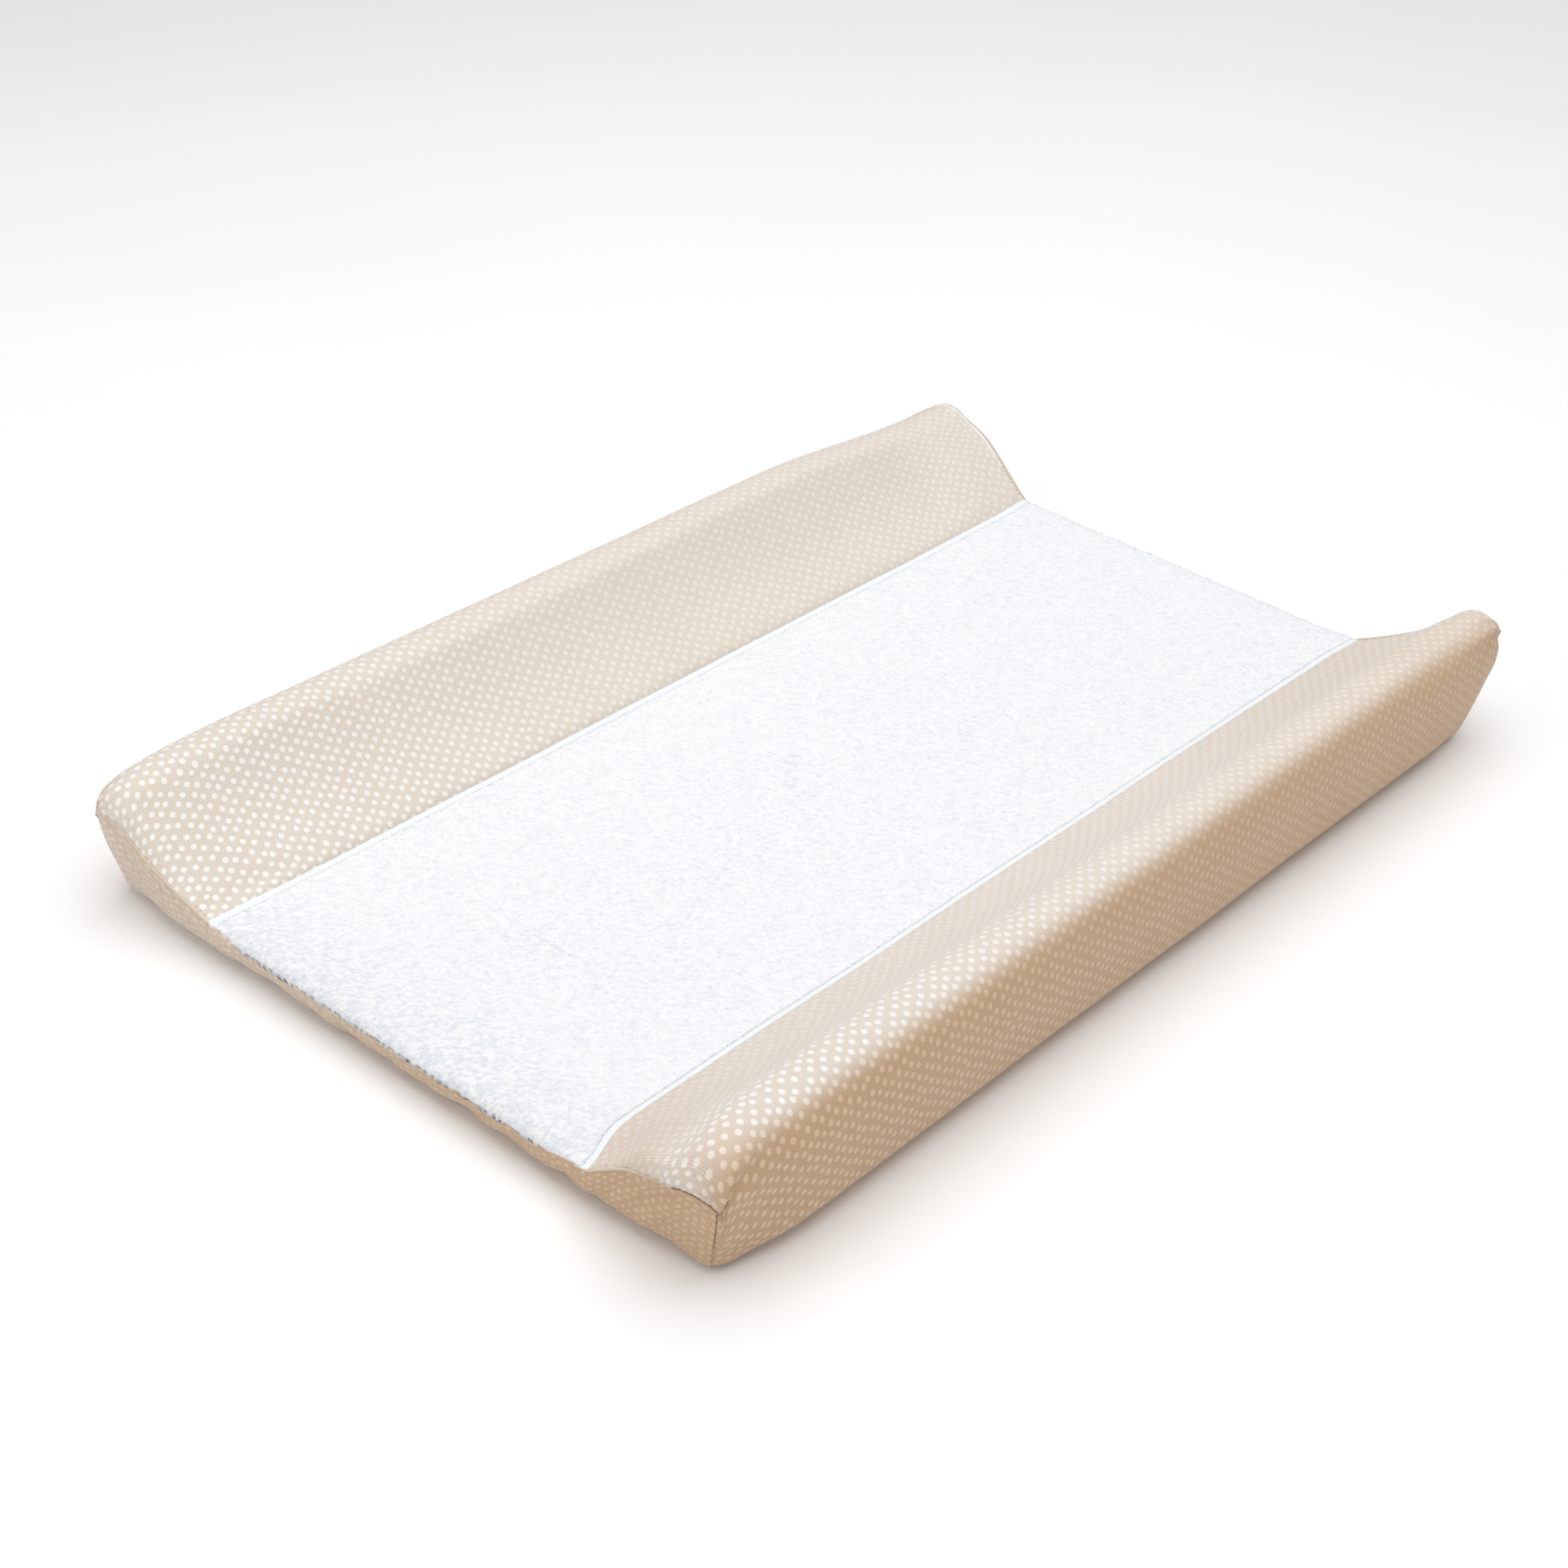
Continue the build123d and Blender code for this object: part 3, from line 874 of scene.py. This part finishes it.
def terryPoint(x, y, acrossShare):
    end = endOf(y)
    ahead = halfLength - abs(y)
    flat = (terryTop - terryCut["sag"] * smooth(1 - abs(acrossShare))
            + terryCut["wave"] * unrest(x / 0.07, y / 0.07))
    flat += terryCut["headRise" if end > 0 else "footRise"] * nearEnd(y, terryCut["riseRun"])
    edge = seamPlace(handOf(x), y).z + 0.3 * mm
    height = mixed(flat, edge, smooth((abs(acrossShare) - 0.86) / 0.14))
    roll = min(1.0, max(0.0, 1 - (ahead - (2 * mm if end < 0 else 0)) / terryCut["rollRun"]))
    target = min(terryEdgeHeight(x, end), height)
    return Vector((x, y, mixed(height, target, 1 - math.sqrt(max(0.0, 1 - roll ** 2)))))


def terrySheet():
    widths = round(2 * (seamAcross - 5 * mm) / terryCut["step"])
    footEnd, headEnd = -halfLength - terryCut["footEnd"], halfLength + terryCut["headEnd"]
    lengths = round((headEnd - footEnd) / terryCut["step"])
    rows, marks, pile = [], [], []
    for j in range(lengths + 1):
        y = mixed(footEnd, headEnd, j / lengths)
        reach = min(halfLength, max(-halfLength, y))
        atEnd = nearEnd(y, 16 * mm)
        rough = smooth(1 - (halfLength + y) / terryCut["brushedRun"])      # brushed up towards the foot
        line = []
        for i in range(widths + 1):
            share = 2 * i / widths - 1
            margin = terryCut["marginLeft" if share < 0 else "marginRight"]
            x = share * (abs(seamPlace(handOf(share), reach).x) - margin)
            point = terryPoint(x, reach, share)
            far = noise.voronoi(Vector((x, y, 0)) / terryCut["tuftApart"])[0][0]
            tuft = 1 - far / 0.55 + 0.35 * unrest(x / 0.0008, y / 0.0008)
            brush = 0.8 + 0.2 * unrest(x / 0.03, y / 0.02, 4.0)
            point.y = y + (1.3 * mm * unrest(x / 0.002, 5.0) * atEnd) * (1 if y > 0 else -1)
            point.z += terryCut["loopHigh"] * tuft * brush * (1 + 0.7 * atEnd + 0.5 * rough)
            line.append(point)
            # this pile value sets the painted shade between the loops: the lower the loop, the more shade
            pile.append(0.5 + 0.5 * tuft * brush * (1 + 1.2 * rough) - 0.16 * rough)
        rows.append(line)
        marks.append([(point.x, y) for point in line])
    return rows, marks, pile


def closeBelow(piece, rows, deep):
    # a wall down from the open edge and one strip across the underside per row
    mesh = piece.data
    wide, high = len(rows[0]), len(rows)
    form = bmesh.new()
    form.from_mesh(mesh)
    tops = list(form.verts)
    ring = ([(0, j) for j in range(wide)] + [(i, wide - 1) for i in range(1, high)]
            + [(high - 1, j) for j in range(wide - 2, -1, -1)] + [(i, 0) for i in range(high - 2, 0, -1)])
    low = {}
    for i, j in ring:
        atEnd = 1.6 if i in (0, high - 1) else 1.0      # the ends reach down behind the end panels
        low[i, j] = form.verts.new(tops[i * wide + j].co - Vector((0, 0, deep * atEnd)))
    for a, b in zip(ring, ring[1:] + ring[:1]):
        form.faces.new((tops[b[0] * wide + b[1]], tops[a[0] * wide + a[1]], low[a], low[b]))
    form.faces.new([low[0, j] for j in range(wide)] + [low[1, wide - 1], low[1, 0]])
    for i in range(1, high - 2):
        form.faces.new((low[i, 0], low[i, wide - 1], low[i + 1, wide - 1], low[i + 1, 0]))
    form.faces.new([low[high - 2, 0], low[high - 2, wide - 1]]
                   + [low[high - 1, j] for j in range(wide - 1, -1, -1)])
    form.to_mesh(mesh)
    form.free()
    faceOut(mesh)


rows, marks, pile = terrySheet()
terry = clothGrid("terryPanel", rows, marks)
closeBelow(terry, rows, terryCut["deep"])
layer = terry.data.attributes.new("pile", "FLOAT", "POINT")
for i, value in enumerate(pile):
    layer.data[i].value = value
terry.data.shade_smooth()
onPad(terry, "terry", "cover_terry_panel")
print("terry panel woven")


# the smooth binding along each long edge of the terry
bindingCut = inMm(wide=4.6, high=0.35, tuckUnder=1.0, lap=1.25, below=0.55, thickness=0.6)
bindingSteps = 6
bindings = []
for name, hand in handNames:
    rows, marks = [], []
    for i in range(bindingSteps + 1):
        share = i / bindingSteps
        crown = bindingCut["high"] * (1 - (2 * share - 1) ** 2) + bindingCut["lap"] * (1 - share) ** 2
        line = []
        for y in lengthStations:
            seam = seamPlace(hand, y)
            tuck = bindingCut["tuckUnder"]
            x = abs(seam.x) + tuck - share * (bindingCut["wide"] + tuck)
            x += (0.2 + 1.0 * (1 - share) ** 2) * mm * unrest(y / 0.009, hand)      # sewn a little unevenly
            line.append(Vector((hand * x, y, seam.z - bindingCut["below"] + crown)))
        rows.append(line)
        marks.append([(share * bindingCut["wide"], y) for y in lengthStations])
    piece = clothGrid("terryBinding" + name, rows, marks, flip=hand < 0)
    smoothed(piece, 1)
    thickened(piece, bindingCut["thickness"])
    onPad(piece, "binding_tape", "terry_binding_" + name.lower())
    bindings.append(piece)
print("bindings laid")


# seams: a fold of cloth along each join, and the thread that holds it
def seamCurve(points, step=1.0 * mm):
    # a smooth line of closely spaced points through points that are eased a little first
    inner = [(a + b * 4 + c) / 6 for a, b, c in zip(points, points[1:], points[2:])]
    eased = [points[0]] + inner + [points[-1]]
    padded = [eased[0] * 2 - eased[1]] + eased + [eased[-1] * 2 - eased[-2]]
    fine = []
    for a, b, c, d in zip(padded, padded[1:], padded[2:], padded[3:]):
        count = max(1, math.ceil((c - b).length / step))
        for i in range(count):
            t = i / count
            fine.append(0.5 * (2 * b + (c - a) * t + (2 * a - 5 * b + 4 * c - d) * t * t
                               + (3 * b - a - 3 * c + d) * t ** 3))
    return fine + [eased[-1]]


def ringFaces(count, around, start=0):
    # the faces between rings of points, and a face that closes each end
    faces = []
    for i in range(count - 1):
        for k in range(around):
            a, b = start + i * around + k, start + i * around + (k + 1) % around
            faces.append((a, b, b + around, a + around))
    last = start + (count - 1) * around
    return faces + [tuple(range(start, start + around))[::-1], tuple(range(last, last + around))]


def foldAlong(lines, outs, wide, high, sink):
    # rounded ridges along lines, as one list of points and faces; high may fade along a line
    points, faces = [], []
    around = 8
    for line, out in zip(lines, outs):
        faces += ringFaces(len(line), around, len(points))
        for i, place in enumerate(line):
            full = high(i / (len(line) - 1))
            forward = (line[min(i + 1, len(line) - 1)] - line[max(i - 1, 0)]).normalized()
            up = (out - forward * out.dot(forward)).normalized()
            across = forward.cross(up)
            for k in range(around):
                turn = 2 * math.pi * k / around
                points.append(place + across * math.cos(turn) * wide * 0.5
                              + up * (math.sin(turn) * full + full * 0.4 - sink))
    return points, faces


def meshPiece(name, points, faces):
    mesh = bpy.data.meshes.new(name)
    mesh.from_pydata(points, [], faces)
    faceOut(mesh)
    mesh.shade_smooth()
    return linked(name, mesh)


def surfaceOf(*pieces):
    points, faces = [], []
    for piece in pieces:
        start = len(points)
        points += [v.co.copy() for v in piece.data.vertices]
        faces += [[start + i for i in f.vertices] for f in piece.data.polygons]
    return BVHTree.FromPolygons(points, faces)


def oneStitch(long, wide):
    bpy.ops.object.select_all(action="DESELECT")
    bpy.ops.mesh.primitive_uv_sphere_add(segments=6, ring_count=5, radius=0.5, location=(0, 0, 0),
                                         rotation=(0, math.pi / 2, 0))
    bpy.ops.object.mode_set(mode="EDIT")
    bpy.ops.mesh.select_all(action="SELECT")
    bpy.ops.transform.resize(value=(wide, wide, long))
    bpy.ops.object.mode_set(mode="OBJECT")
    bpy.ops.object.transform_apply(location=True, rotation=True, scale=True)
    made = bpy.context.active_object
    shape = [v.co.copy() for v in made.data.vertices], [tuple(f.vertices) for f in made.data.polygons]
    bpy.data.objects.remove(made)
    return shape


def sewnRow(lines, surface, long, pitch, wide, lift):
    # stitches along lines, laid on the surface
    shape, shapeFaces = oneStitch(long, wide)
    points, faces = [], []
    for line in lines:
        gone, due = 0.0, pitch * 0.5
        for a, b in zip(line, line[1:]):
            step = (b - a).length
            while step > 0 and gone + step >= due:
                hit = surface.find_nearest(a.lerp(b, (due - gone) / step))
                due += pitch
                if hit[0] is None:
                    continue
                out = hit[1].normalized()
                forward = (b - a).normalized()
                forward = (forward - out * forward.dot(out)).normalized()
                across = out.cross(forward)
                start = len(points)
                points += [hit[0] + forward * p.x + across * p.y + out * (p.z + lift) for p in shape]
                faces += [tuple(start + i for i in f) for f in shapeFaces]
            gone += step
    return points, faces


seamCut = inMm(
    foldWide=1.4, foldHigh=0.7, foldLow=0.12, foldSink=0.15,
    cornerWide=1.3, cornerHigh=0.42, cornerLow=0.1, cornerSink=0.2,
    stitchLong=2.4, stitchPitch=3.2, threadWide=0.45, stitchLift=0.02,
    stitchInset=2.2, stitchAbove=0.4, cornerStitchInset=2.0,      # from the seam to its stitches
    tightWide=31, tightAbove=20)
coverSurface = surfaceOf(sides[-1], sides[1], ends[-1], ends[1])


def isTight(place):
    # the tight foot corner of the right side shows only a dark crease, its fold painted in shadow
    return (place.x > halfWidth - seamCut["tightWide"] and place.y < 0
            and place.z > seamCut["tightAbove"])


def seamPiece(name, node, fold, stitchLines, foldName):
    # the fold in cloth colour, painted shadow on the fold at the tight corner, and the stitches in darker
    # thread
    foldPoints, foldFaces = fold
    points, faces = sewnRow(stitchLines, coverSurface, seamCut["stitchLong"], seamCut["stitchPitch"],
                            seamCut["threadWide"], seamCut["stitchLift"])
    count = len(foldPoints)
    faces = foldFaces + [tuple(i + count for i in f) for f in faces]
    piece = meshPiece(name, foldPoints + points, faces)
    onPad(piece, "seam_thread", node, (foldName, "seam_thread", "seam_shadow"))
    for face in piece.data.polygons:
        first = face.vertices[0]
        face.material_index = 1 if first >= count else 2 if isTight(piece.data.vertices[first].co) else 0


cornerLines, cornerOuts = [], []
for name, end in endNames:
    lines, outs, stitchLines = [], [], []
    for hand in (-1, 1):
        track = [row[endColumn(end)] for row in sideRows[hand]]
        line = seamCurve(track[:cornerIndex + 1])
        lines.append(line)
        outs.append(Vector((0, end * 0.6, 0.8)))
        shift = Vector((0, -end * seamCut["stitchInset"], seamCut["stitchAbove"]))
        stitchLines.append([p + shift for p in line[4:-8]])      # short of the corners
        cornerLines.append(seamCurve(track[cornerIndex:]))
        cornerOuts.append(Vector((hand * 0.72, end * 0.7, -0.05)))
    fold = foldAlong(lines, outs, seamCut["foldWide"],
                     lambda share: seamCut["foldHigh"] * smooth((0.93 - share) / 0.5) + seamCut["foldLow"],
                     seamCut["foldSink"])
    seamPiece("endSeam" + name, "end_seam_" + name.lower(), fold, stitchLines, "seam_fold")
fold = foldAlong(cornerLines, cornerOuts, seamCut["cornerWide"],
                 lambda share: seamCut["cornerHigh"] * smooth((share - 0.05) / 0.2) + seamCut["cornerLow"],
                 seamCut["cornerSink"])
stitchLines = [[p - Vector((math.copysign(seamCut["cornerStitchInset"], p.x), 0, 0)) for p in line[8:-20]]
               for line in cornerLines]
seamPiece("cornerSeams", "corner_seams", fold, stitchLines, "corner_fold")
print("seams sewn")


# the stitches that hold the binding
bindingStitch = inMm(long=2.2, pitch=3.0, wide=0.42, lift=0.05, inset=3.4, above=0.6)
stitchLines = []
for hand in (-1, 1):
    shift = Vector((-hand * bindingStitch["inset"], 0, bindingStitch["above"]))
    stitchLines.append([seamPlace(hand, y * mm) + shift for y in range(-352, 353, 4)])
points, faces = sewnRow(stitchLines, surfaceOf(*bindings), bindingStitch["long"], bindingStitch["pitch"],
                        bindingStitch["wide"], bindingStitch["lift"])
onPad(meshPiece("bindingStitches", points, faces), "white_thread", "binding_stitching")


# the hem: a gathered casing round the opening underneath, with its elastic
hemCut = inMm(wide=14, cloth=0.7, gatherApart=7, gatherHigh=0.35, gatherIn=1.0, step=2.2, lowest=0.5,
              elasticThick=0.5, stitchLong=3.0, stitchPitch=4.2, threadWide=0.5, stitchInset=2.2)
hemCore = casingHigh.xy - Vector((1, 1)) * padCut["hemCornerRadius"]      # centre of a corner's round
cornerLong = padCut["hemCornerRadius"] * math.pi / 2
hemRound = 4 * (hemCore.x + hemCore.y + cornerLong)


def hemPlace(part):
    # a point and an outward direction on the outer edge of the hem; part runs from 0 to 1 round it
    radius = padCut["hemCornerRadius"]
    left = part * hemRound
    for quarter, corner in enumerate(((1, 1), (-1, 1), (-1, -1), (1, -1))):
        straight = 2 * (hemCore.x if quarter % 2 else hemCore.y)
        if left <= straight + cornerLong:
            break
        left -= straight + cornerLong
    turn = quarter * math.pi / 2 + max(0.0, left - straight) / radius
    out = Vector((math.cos(turn), math.sin(turn), 0))
    back = Vector((-out.y, out.x, 0)) * min(0.0, left - straight)
    return Vector((corner[0] * hemCore.x, corner[1] * hemCore.y, 0)) + out * radius + back, out


def hemRing(name, profile, thickness):
    # profile gives inset and height in mm round the section; the ring closes on itself
    count = round(hemRound / hemCut["step"])
    far = hemRound / 6.28 / hemCut["gatherApart"]
    rows, marks = [], []
    for i in range(count + 1):
        part = (i % count) / count
        place, out = hemPlace(part)
        turn = 2 * math.pi * part
        ripple = unrest(math.cos(turn) * far, math.sin(turn) * far)
        line = []
        for inset, height in profile:
            share = inset * mm / hemCut["wide"]
            p = place - out * (inset * mm + hemCut["gatherIn"] * ripple * share)
            p.z = max(hemCut["lowest"], height * mm + hemCut["gatherHigh"] * ripple * (0.4 + share))
            line.append(p)
        rows.append(line)
        marks.append([(i * hemCut["step"], j * 3 * mm) for j in range(len(profile))])
    piece = clothGrid(name, rows, marks)
    applied(piece, "WELD", merge_threshold=0.01 * mm)
    faceOut(piece.data)
    thickened(piece, thickness, 0.0)
    return piece


casingProfile = [(0.2, 2.25), (4, 2.35), (8, 2.35), (11.5, 2.2), (13.2, 1.9), (13.7, 1.4),
                 (13.2, 0.95), (11.5, 0.75), (8, 0.6), (4, 0.6), (0.4, 0.75)]
casing = hemRing("hemCasing", casingProfile, hemCut["cloth"])
onPad(casing, "dotted_cloth", "hem_casing")
elastic = hemRing("hemElastic", [(3.4, 1.45), (7, 1.5), (11, 1.4)], hemCut["elasticThick"])
onPad(elastic, "elastic", "hem_elastic")
hemLine = []
count = round(hemRound / (3 * mm))
for i in range(count + 1):
    place, out = hemPlace((i % count) / count)
    hemLine.append(place - out * hemCut["stitchInset"] + Vector((0, 0, -2 * mm)))
points, faces = sewnRow([hemLine], surfaceOf(casing), hemCut["stitchLong"], hemCut["stitchPitch"],
                        hemCut["threadWide"], 0.0)
onPad(meshPiece("hemStitches", points, faces), "seam_thread", "hem_stitching")
print("hem gathered")


# the care label, sewn in behind the casing, blank
labelCut = {"across": 12, "along": 16, "curl": 0.5 * mm, "unrest": 0.25 * mm, "thickness": 0.3 * mm}
rows = []
for i in range(labelCut["across"] + 1):
    line = []
    for j in range(labelCut["along"] + 1):
        wide, far = i / labelCut["across"], j / labelCut["along"]
        x, y = mixed(labelLow.x, labelHigh.x, wide), mixed(labelLow.y, labelHigh.y, far)
        curl = labelCut["curl"] * math.sin(math.pi * wide) * far
        curl += labelCut["unrest"] * unrest(x / 0.012, y / 0.012)
        line.append(Vector((x, y, labelLow.z + 0.2 * mm - curl)))
    rows.append(line)
marks = [[(i * 2.5 * mm, j * 2.6 * mm) for j in range(len(line))] for i, line in enumerate(rows)]
label = clothGrid("careLabel", rows, marks)
smoothed(label, 1)
thickened(label, labelCut["thickness"], 0.0)
onPad(label, "label_tape", "care_label")


# under the cover: the wipe-clean liner
innerCut = inMm(linerGap=1.9, linerWave=0.2, linerSkin=0.6, bottomInset=13, bottomRadius=34, bottomLift=0.9,
                foamGap=3.4, wedgeFloor=21.6, foamEdge=1.5, foamEnd=22, foamDrawn=9, foamUneven=0.3)
middleRows = 24
bottomGrid = (45, 71)


def linerPiece(name, rows, marks, node, flip=False, inward=None):
    piece = clothGrid(name, rows, marks, flip=flip)
    if inward:
        creased(piece, inward)
    smoothed(piece, 1)
    thickened(piece, innerCut["linerSkin"])
    onPad(piece, "liner_vinyl", node)
    return piece


topCount = sum(along <= footStart + 0.5 * mm for along in alongStations)
rows = sideRows[-1][:topCount][::-1]
for step in range(1, middleRows):
    share = step / middleRows * 2 - 1
    line = [terryPoint(share * abs(seamPlace(handOf(share), y).x), y, share) for y in lengthStations]
    rows.append([point - Vector((0, 0, innerCut["linerGap"])) for point in line])
rows += sideRows[1][:topCount]
marks = [[(i * 8 * mm, y) for y in lengthStations] for i in range(len(rows))]
linerTop = linerPiece("linerTop", rows, marks, "liner_top", True, lambda mark, co:
                      -innerCut["linerGap"] + innerCut["linerWave"] * unrest(mark.x / 0.03, mark.y / 0.04))
for name, end in endNames:
    marks = [[(i * 8 * mm, p.x) for p in row] for i, row in enumerate(endRows[end])]
    linerPiece("linerEnd" + name, endRows[end], marks, "liner_end_" + name.lower(), end < 0,
               lambda mark, co: -innerCut["linerGap"])


def bottomPoint(wide, far):
    # a place on the liner's underside, which has rounded corners
    radius = innerCut["bottomRadius"]
    limitX, limitY = halfWidth - innerCut["bottomInset"], halfLength - innerCut["bottomInset"]
    x, y = mixed(-limitX, limitX, wide), mixed(-limitY, limitY, far)
    overX, overY = abs(x) - limitX + radius, abs(y) - limitY + radius
    if overX > 0 and overY > 0:
        ease = max(overX, overY) / math.hypot(overX, overY)
        x = math.copysign(limitX - radius + overX * ease, x)
        y = math.copysign(limitY - radius + overY * ease, y)
    waves = 0.35 * mm * unrest(x / 0.05, y / 0.035) + 0.25 * mm * unrest(x / 0.015, y / 0.05, 3)
    return Vector((x, y, linerFloor + innerCut["bottomLift"] + waves))


rows = [[bottomPoint(i / bottomGrid[0], j / bottomGrid[1]) for j in range(bottomGrid[1] + 1)]
        for i in range(bottomGrid[0] + 1)]
linerBottom = linerPiece("linerBottom", rows, [[(p.x, p.y) for p in row] for row in rows], "liner_bottom")


# the foam inside the liner
def footInset(z):
    return footR - math.sqrt(max(0.0, footR ** 2 - max(0.0, footR - z) ** 2))


def foamPiece(name, loops, node):
    # closed foam form from loops of points, one loop per place along the pad
    points = [p for loop in loops for p in loop]
    piece = meshPiece(name, points, ringFaces(len(loops), len(loops[0])))
    applied(piece, "BEVEL", width=innerCut["foamEdge"], segments=2, limit_method="ANGLE")
    normals = [v.normal.copy() for v in piece.data.vertices]
    for vertex, out in zip(piece.data.vertices, normals):
        vertex.co += out * innerCut["foamUneven"] * unrest(*(vertex.co / 0.02))
    onPad(piece, "foam", node)


wedgeFloor = innerCut["wedgeFloor"]
levels = [4.4 * mm, 8 * mm, 13 * mm, wedgeFloor - 0.8 * mm]
baseEnd = halfLength - innerCut["foamEnd"]
loops = []
for y in stationsBetween(-baseEnd, baseEnd, 14 * mm) + [baseEnd]:
    inside = innerCut["foamGap"] + innerCut["foamDrawn"] * nearEnd(y, 60 * mm)
    loops.append([Vector((hand * (halfWidth - footInset(z) - inside), y, z))
                  for hand, order in ((1, levels), (-1, levels[::-1])) for z in order])
foamPiece("foamBase", loops, "foam_base")

wedgeSteps = (7, 12, 18, 26, 40, 60, 90)
wedgePlaces = ([-halfLength + step * mm for step in wedgeSteps]
               + stationsBetween(-innerEnd, innerEnd, 20 * mm) + [innerEnd]
               + [halfLength - step * mm for step in reversed(wedgeSteps)])
for name, hand in handNames:
    loops = []
    for y in wedgePlaces:
        track = [sidePoint(hand, a, y) for a in stationsBetween(14 * mm, footStart, 6 * mm)]
        loop = []
        for a, b, c in zip(track, track[1:], track[2:]):
            forward = Vector((c.x - a.x, 0, c.z - a.z)).normalized()
            inner = b + Vector((forward.z, 0, -forward.x)) * hand * innerCut["foamGap"]
            z = inner.z if inner.z > wedgeFloor + 1 * mm else wedgeFloor + 0.5 * mm
            loop.append(Vector((inner.x, b.y, z)))
        loop += [Vector((p.x, p.y, wedgeFloor)) for p in (loop[-1], loop[0])]
        loops.append(loop)
    foamPiece("foamWedge" + name, loops, "foam_wedge_" + name.lower())
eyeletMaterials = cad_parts["vent_eyelets"].data.materials
eyeletMaterials.clear()
eyeletMaterials.append(finishes["eyelet_metal"])
print("liner and foam made")


# camera, lights and floor
cameraCut = {"lens": 62.64, "shiftX": -0.0004, "shiftY": 0.0153, "place": (0.80238, -1.06767, 0.86806),
             "look": (-0.51841, 0.65711, -0.54723), "level": 38.27, "roll": 4.43}      # turns in degrees
camera = linked("camera", bpy.data.cameras.new("camera"))
bpy.context.scene.camera = camera
camera.data.lens = cameraCut["lens"]
camera.data.shift_x = cameraCut["shiftX"]
camera.data.shift_y = cameraCut["shiftY"]
place = cameraCut["place"]
lookWay = Vector(cameraCut["look"]).normalized()
turn = math.radians(cameraCut["level"])
level = Vector((math.cos(turn), math.sin(turn), 0))
rise = level.cross(lookWay)
roll = math.radians(cameraCut["roll"])
acrossWay = level * math.cos(roll) + rise * math.sin(roll)
upWay = rise * math.cos(roll) - level * math.sin(roll)
camera.matrix_world = Matrix([(acrossWay[i], upWay[i], -lookWay[i], place[i]) for i in range(3)]
                             + [(0, 0, 0, 1)])

# name, place, what it points at, size, power, colour
lightCut = (
    ("overhead", (0.0, 0.1, 1.9), (0, 0, 0), (2.4, 2.4), 35.5, (0.985, 0.99, 1.0)),
    ("frontFill", (-0.7, -2.2, 1.2), (0, 0, 0.03), (2.0, 1.4), 14, (1.0, 0.97, 0.94)),
    ("behind", (-0.6, 2.7, 1.7), (-0.9, 2.0, 0), (2.6, 1.6), 9, (1.0, 1.0, 1.0)),
    ("sideFill", (2.2, -0.6, 0.7), (0, 0, 0.03), (1.8, 1.0), 5, (1.0, 0.86, 0.72)),
)
for name, place, target, size, power, colour in lightCut:
    lamp = bpy.data.lights.new(name, "AREA")
    lamp.shape = "RECTANGLE"
    lamp.size, lamp.size_y = size
    lamp.energy = power
    lamp.color = colour
    made = linked(name, lamp)
    made.location = place
    made.rotation_euler = (Vector(target) - Vector(place)).to_track_quat("-Z", "Y").to_euler()

world = bpy.data.worlds.new("studio")
bpy.context.scene.world = world
world.use_nodes = True
world.node_tree.nodes["Background"].inputs["Color"].default_value = (0.98, 0.99, 1.0, 1)
world.node_tree.nodes["Background"].inputs["Strength"].default_value = 0.40
bpy.context.scene.view_settings.view_transform = "Standard"

bpy.ops.object.select_all(action="DESELECT")
bpy.ops.mesh.primitive_grid_add(x_subdivisions=8, y_subdivisions=8, size=12, location=(0, 0, -0.0004))
floor = bpy.context.active_object
floor.name = "floor"
floor.data.materials.append(newFinish("paleFloor", {"Roughness": 0.8}))
into("Base Color", blended(patches(objectPlace(), 3.0), (0.90, 0.90, 0.90, 1), (0.93, 0.93, 0.93, 1)))
print("camera, lights and floor placed")
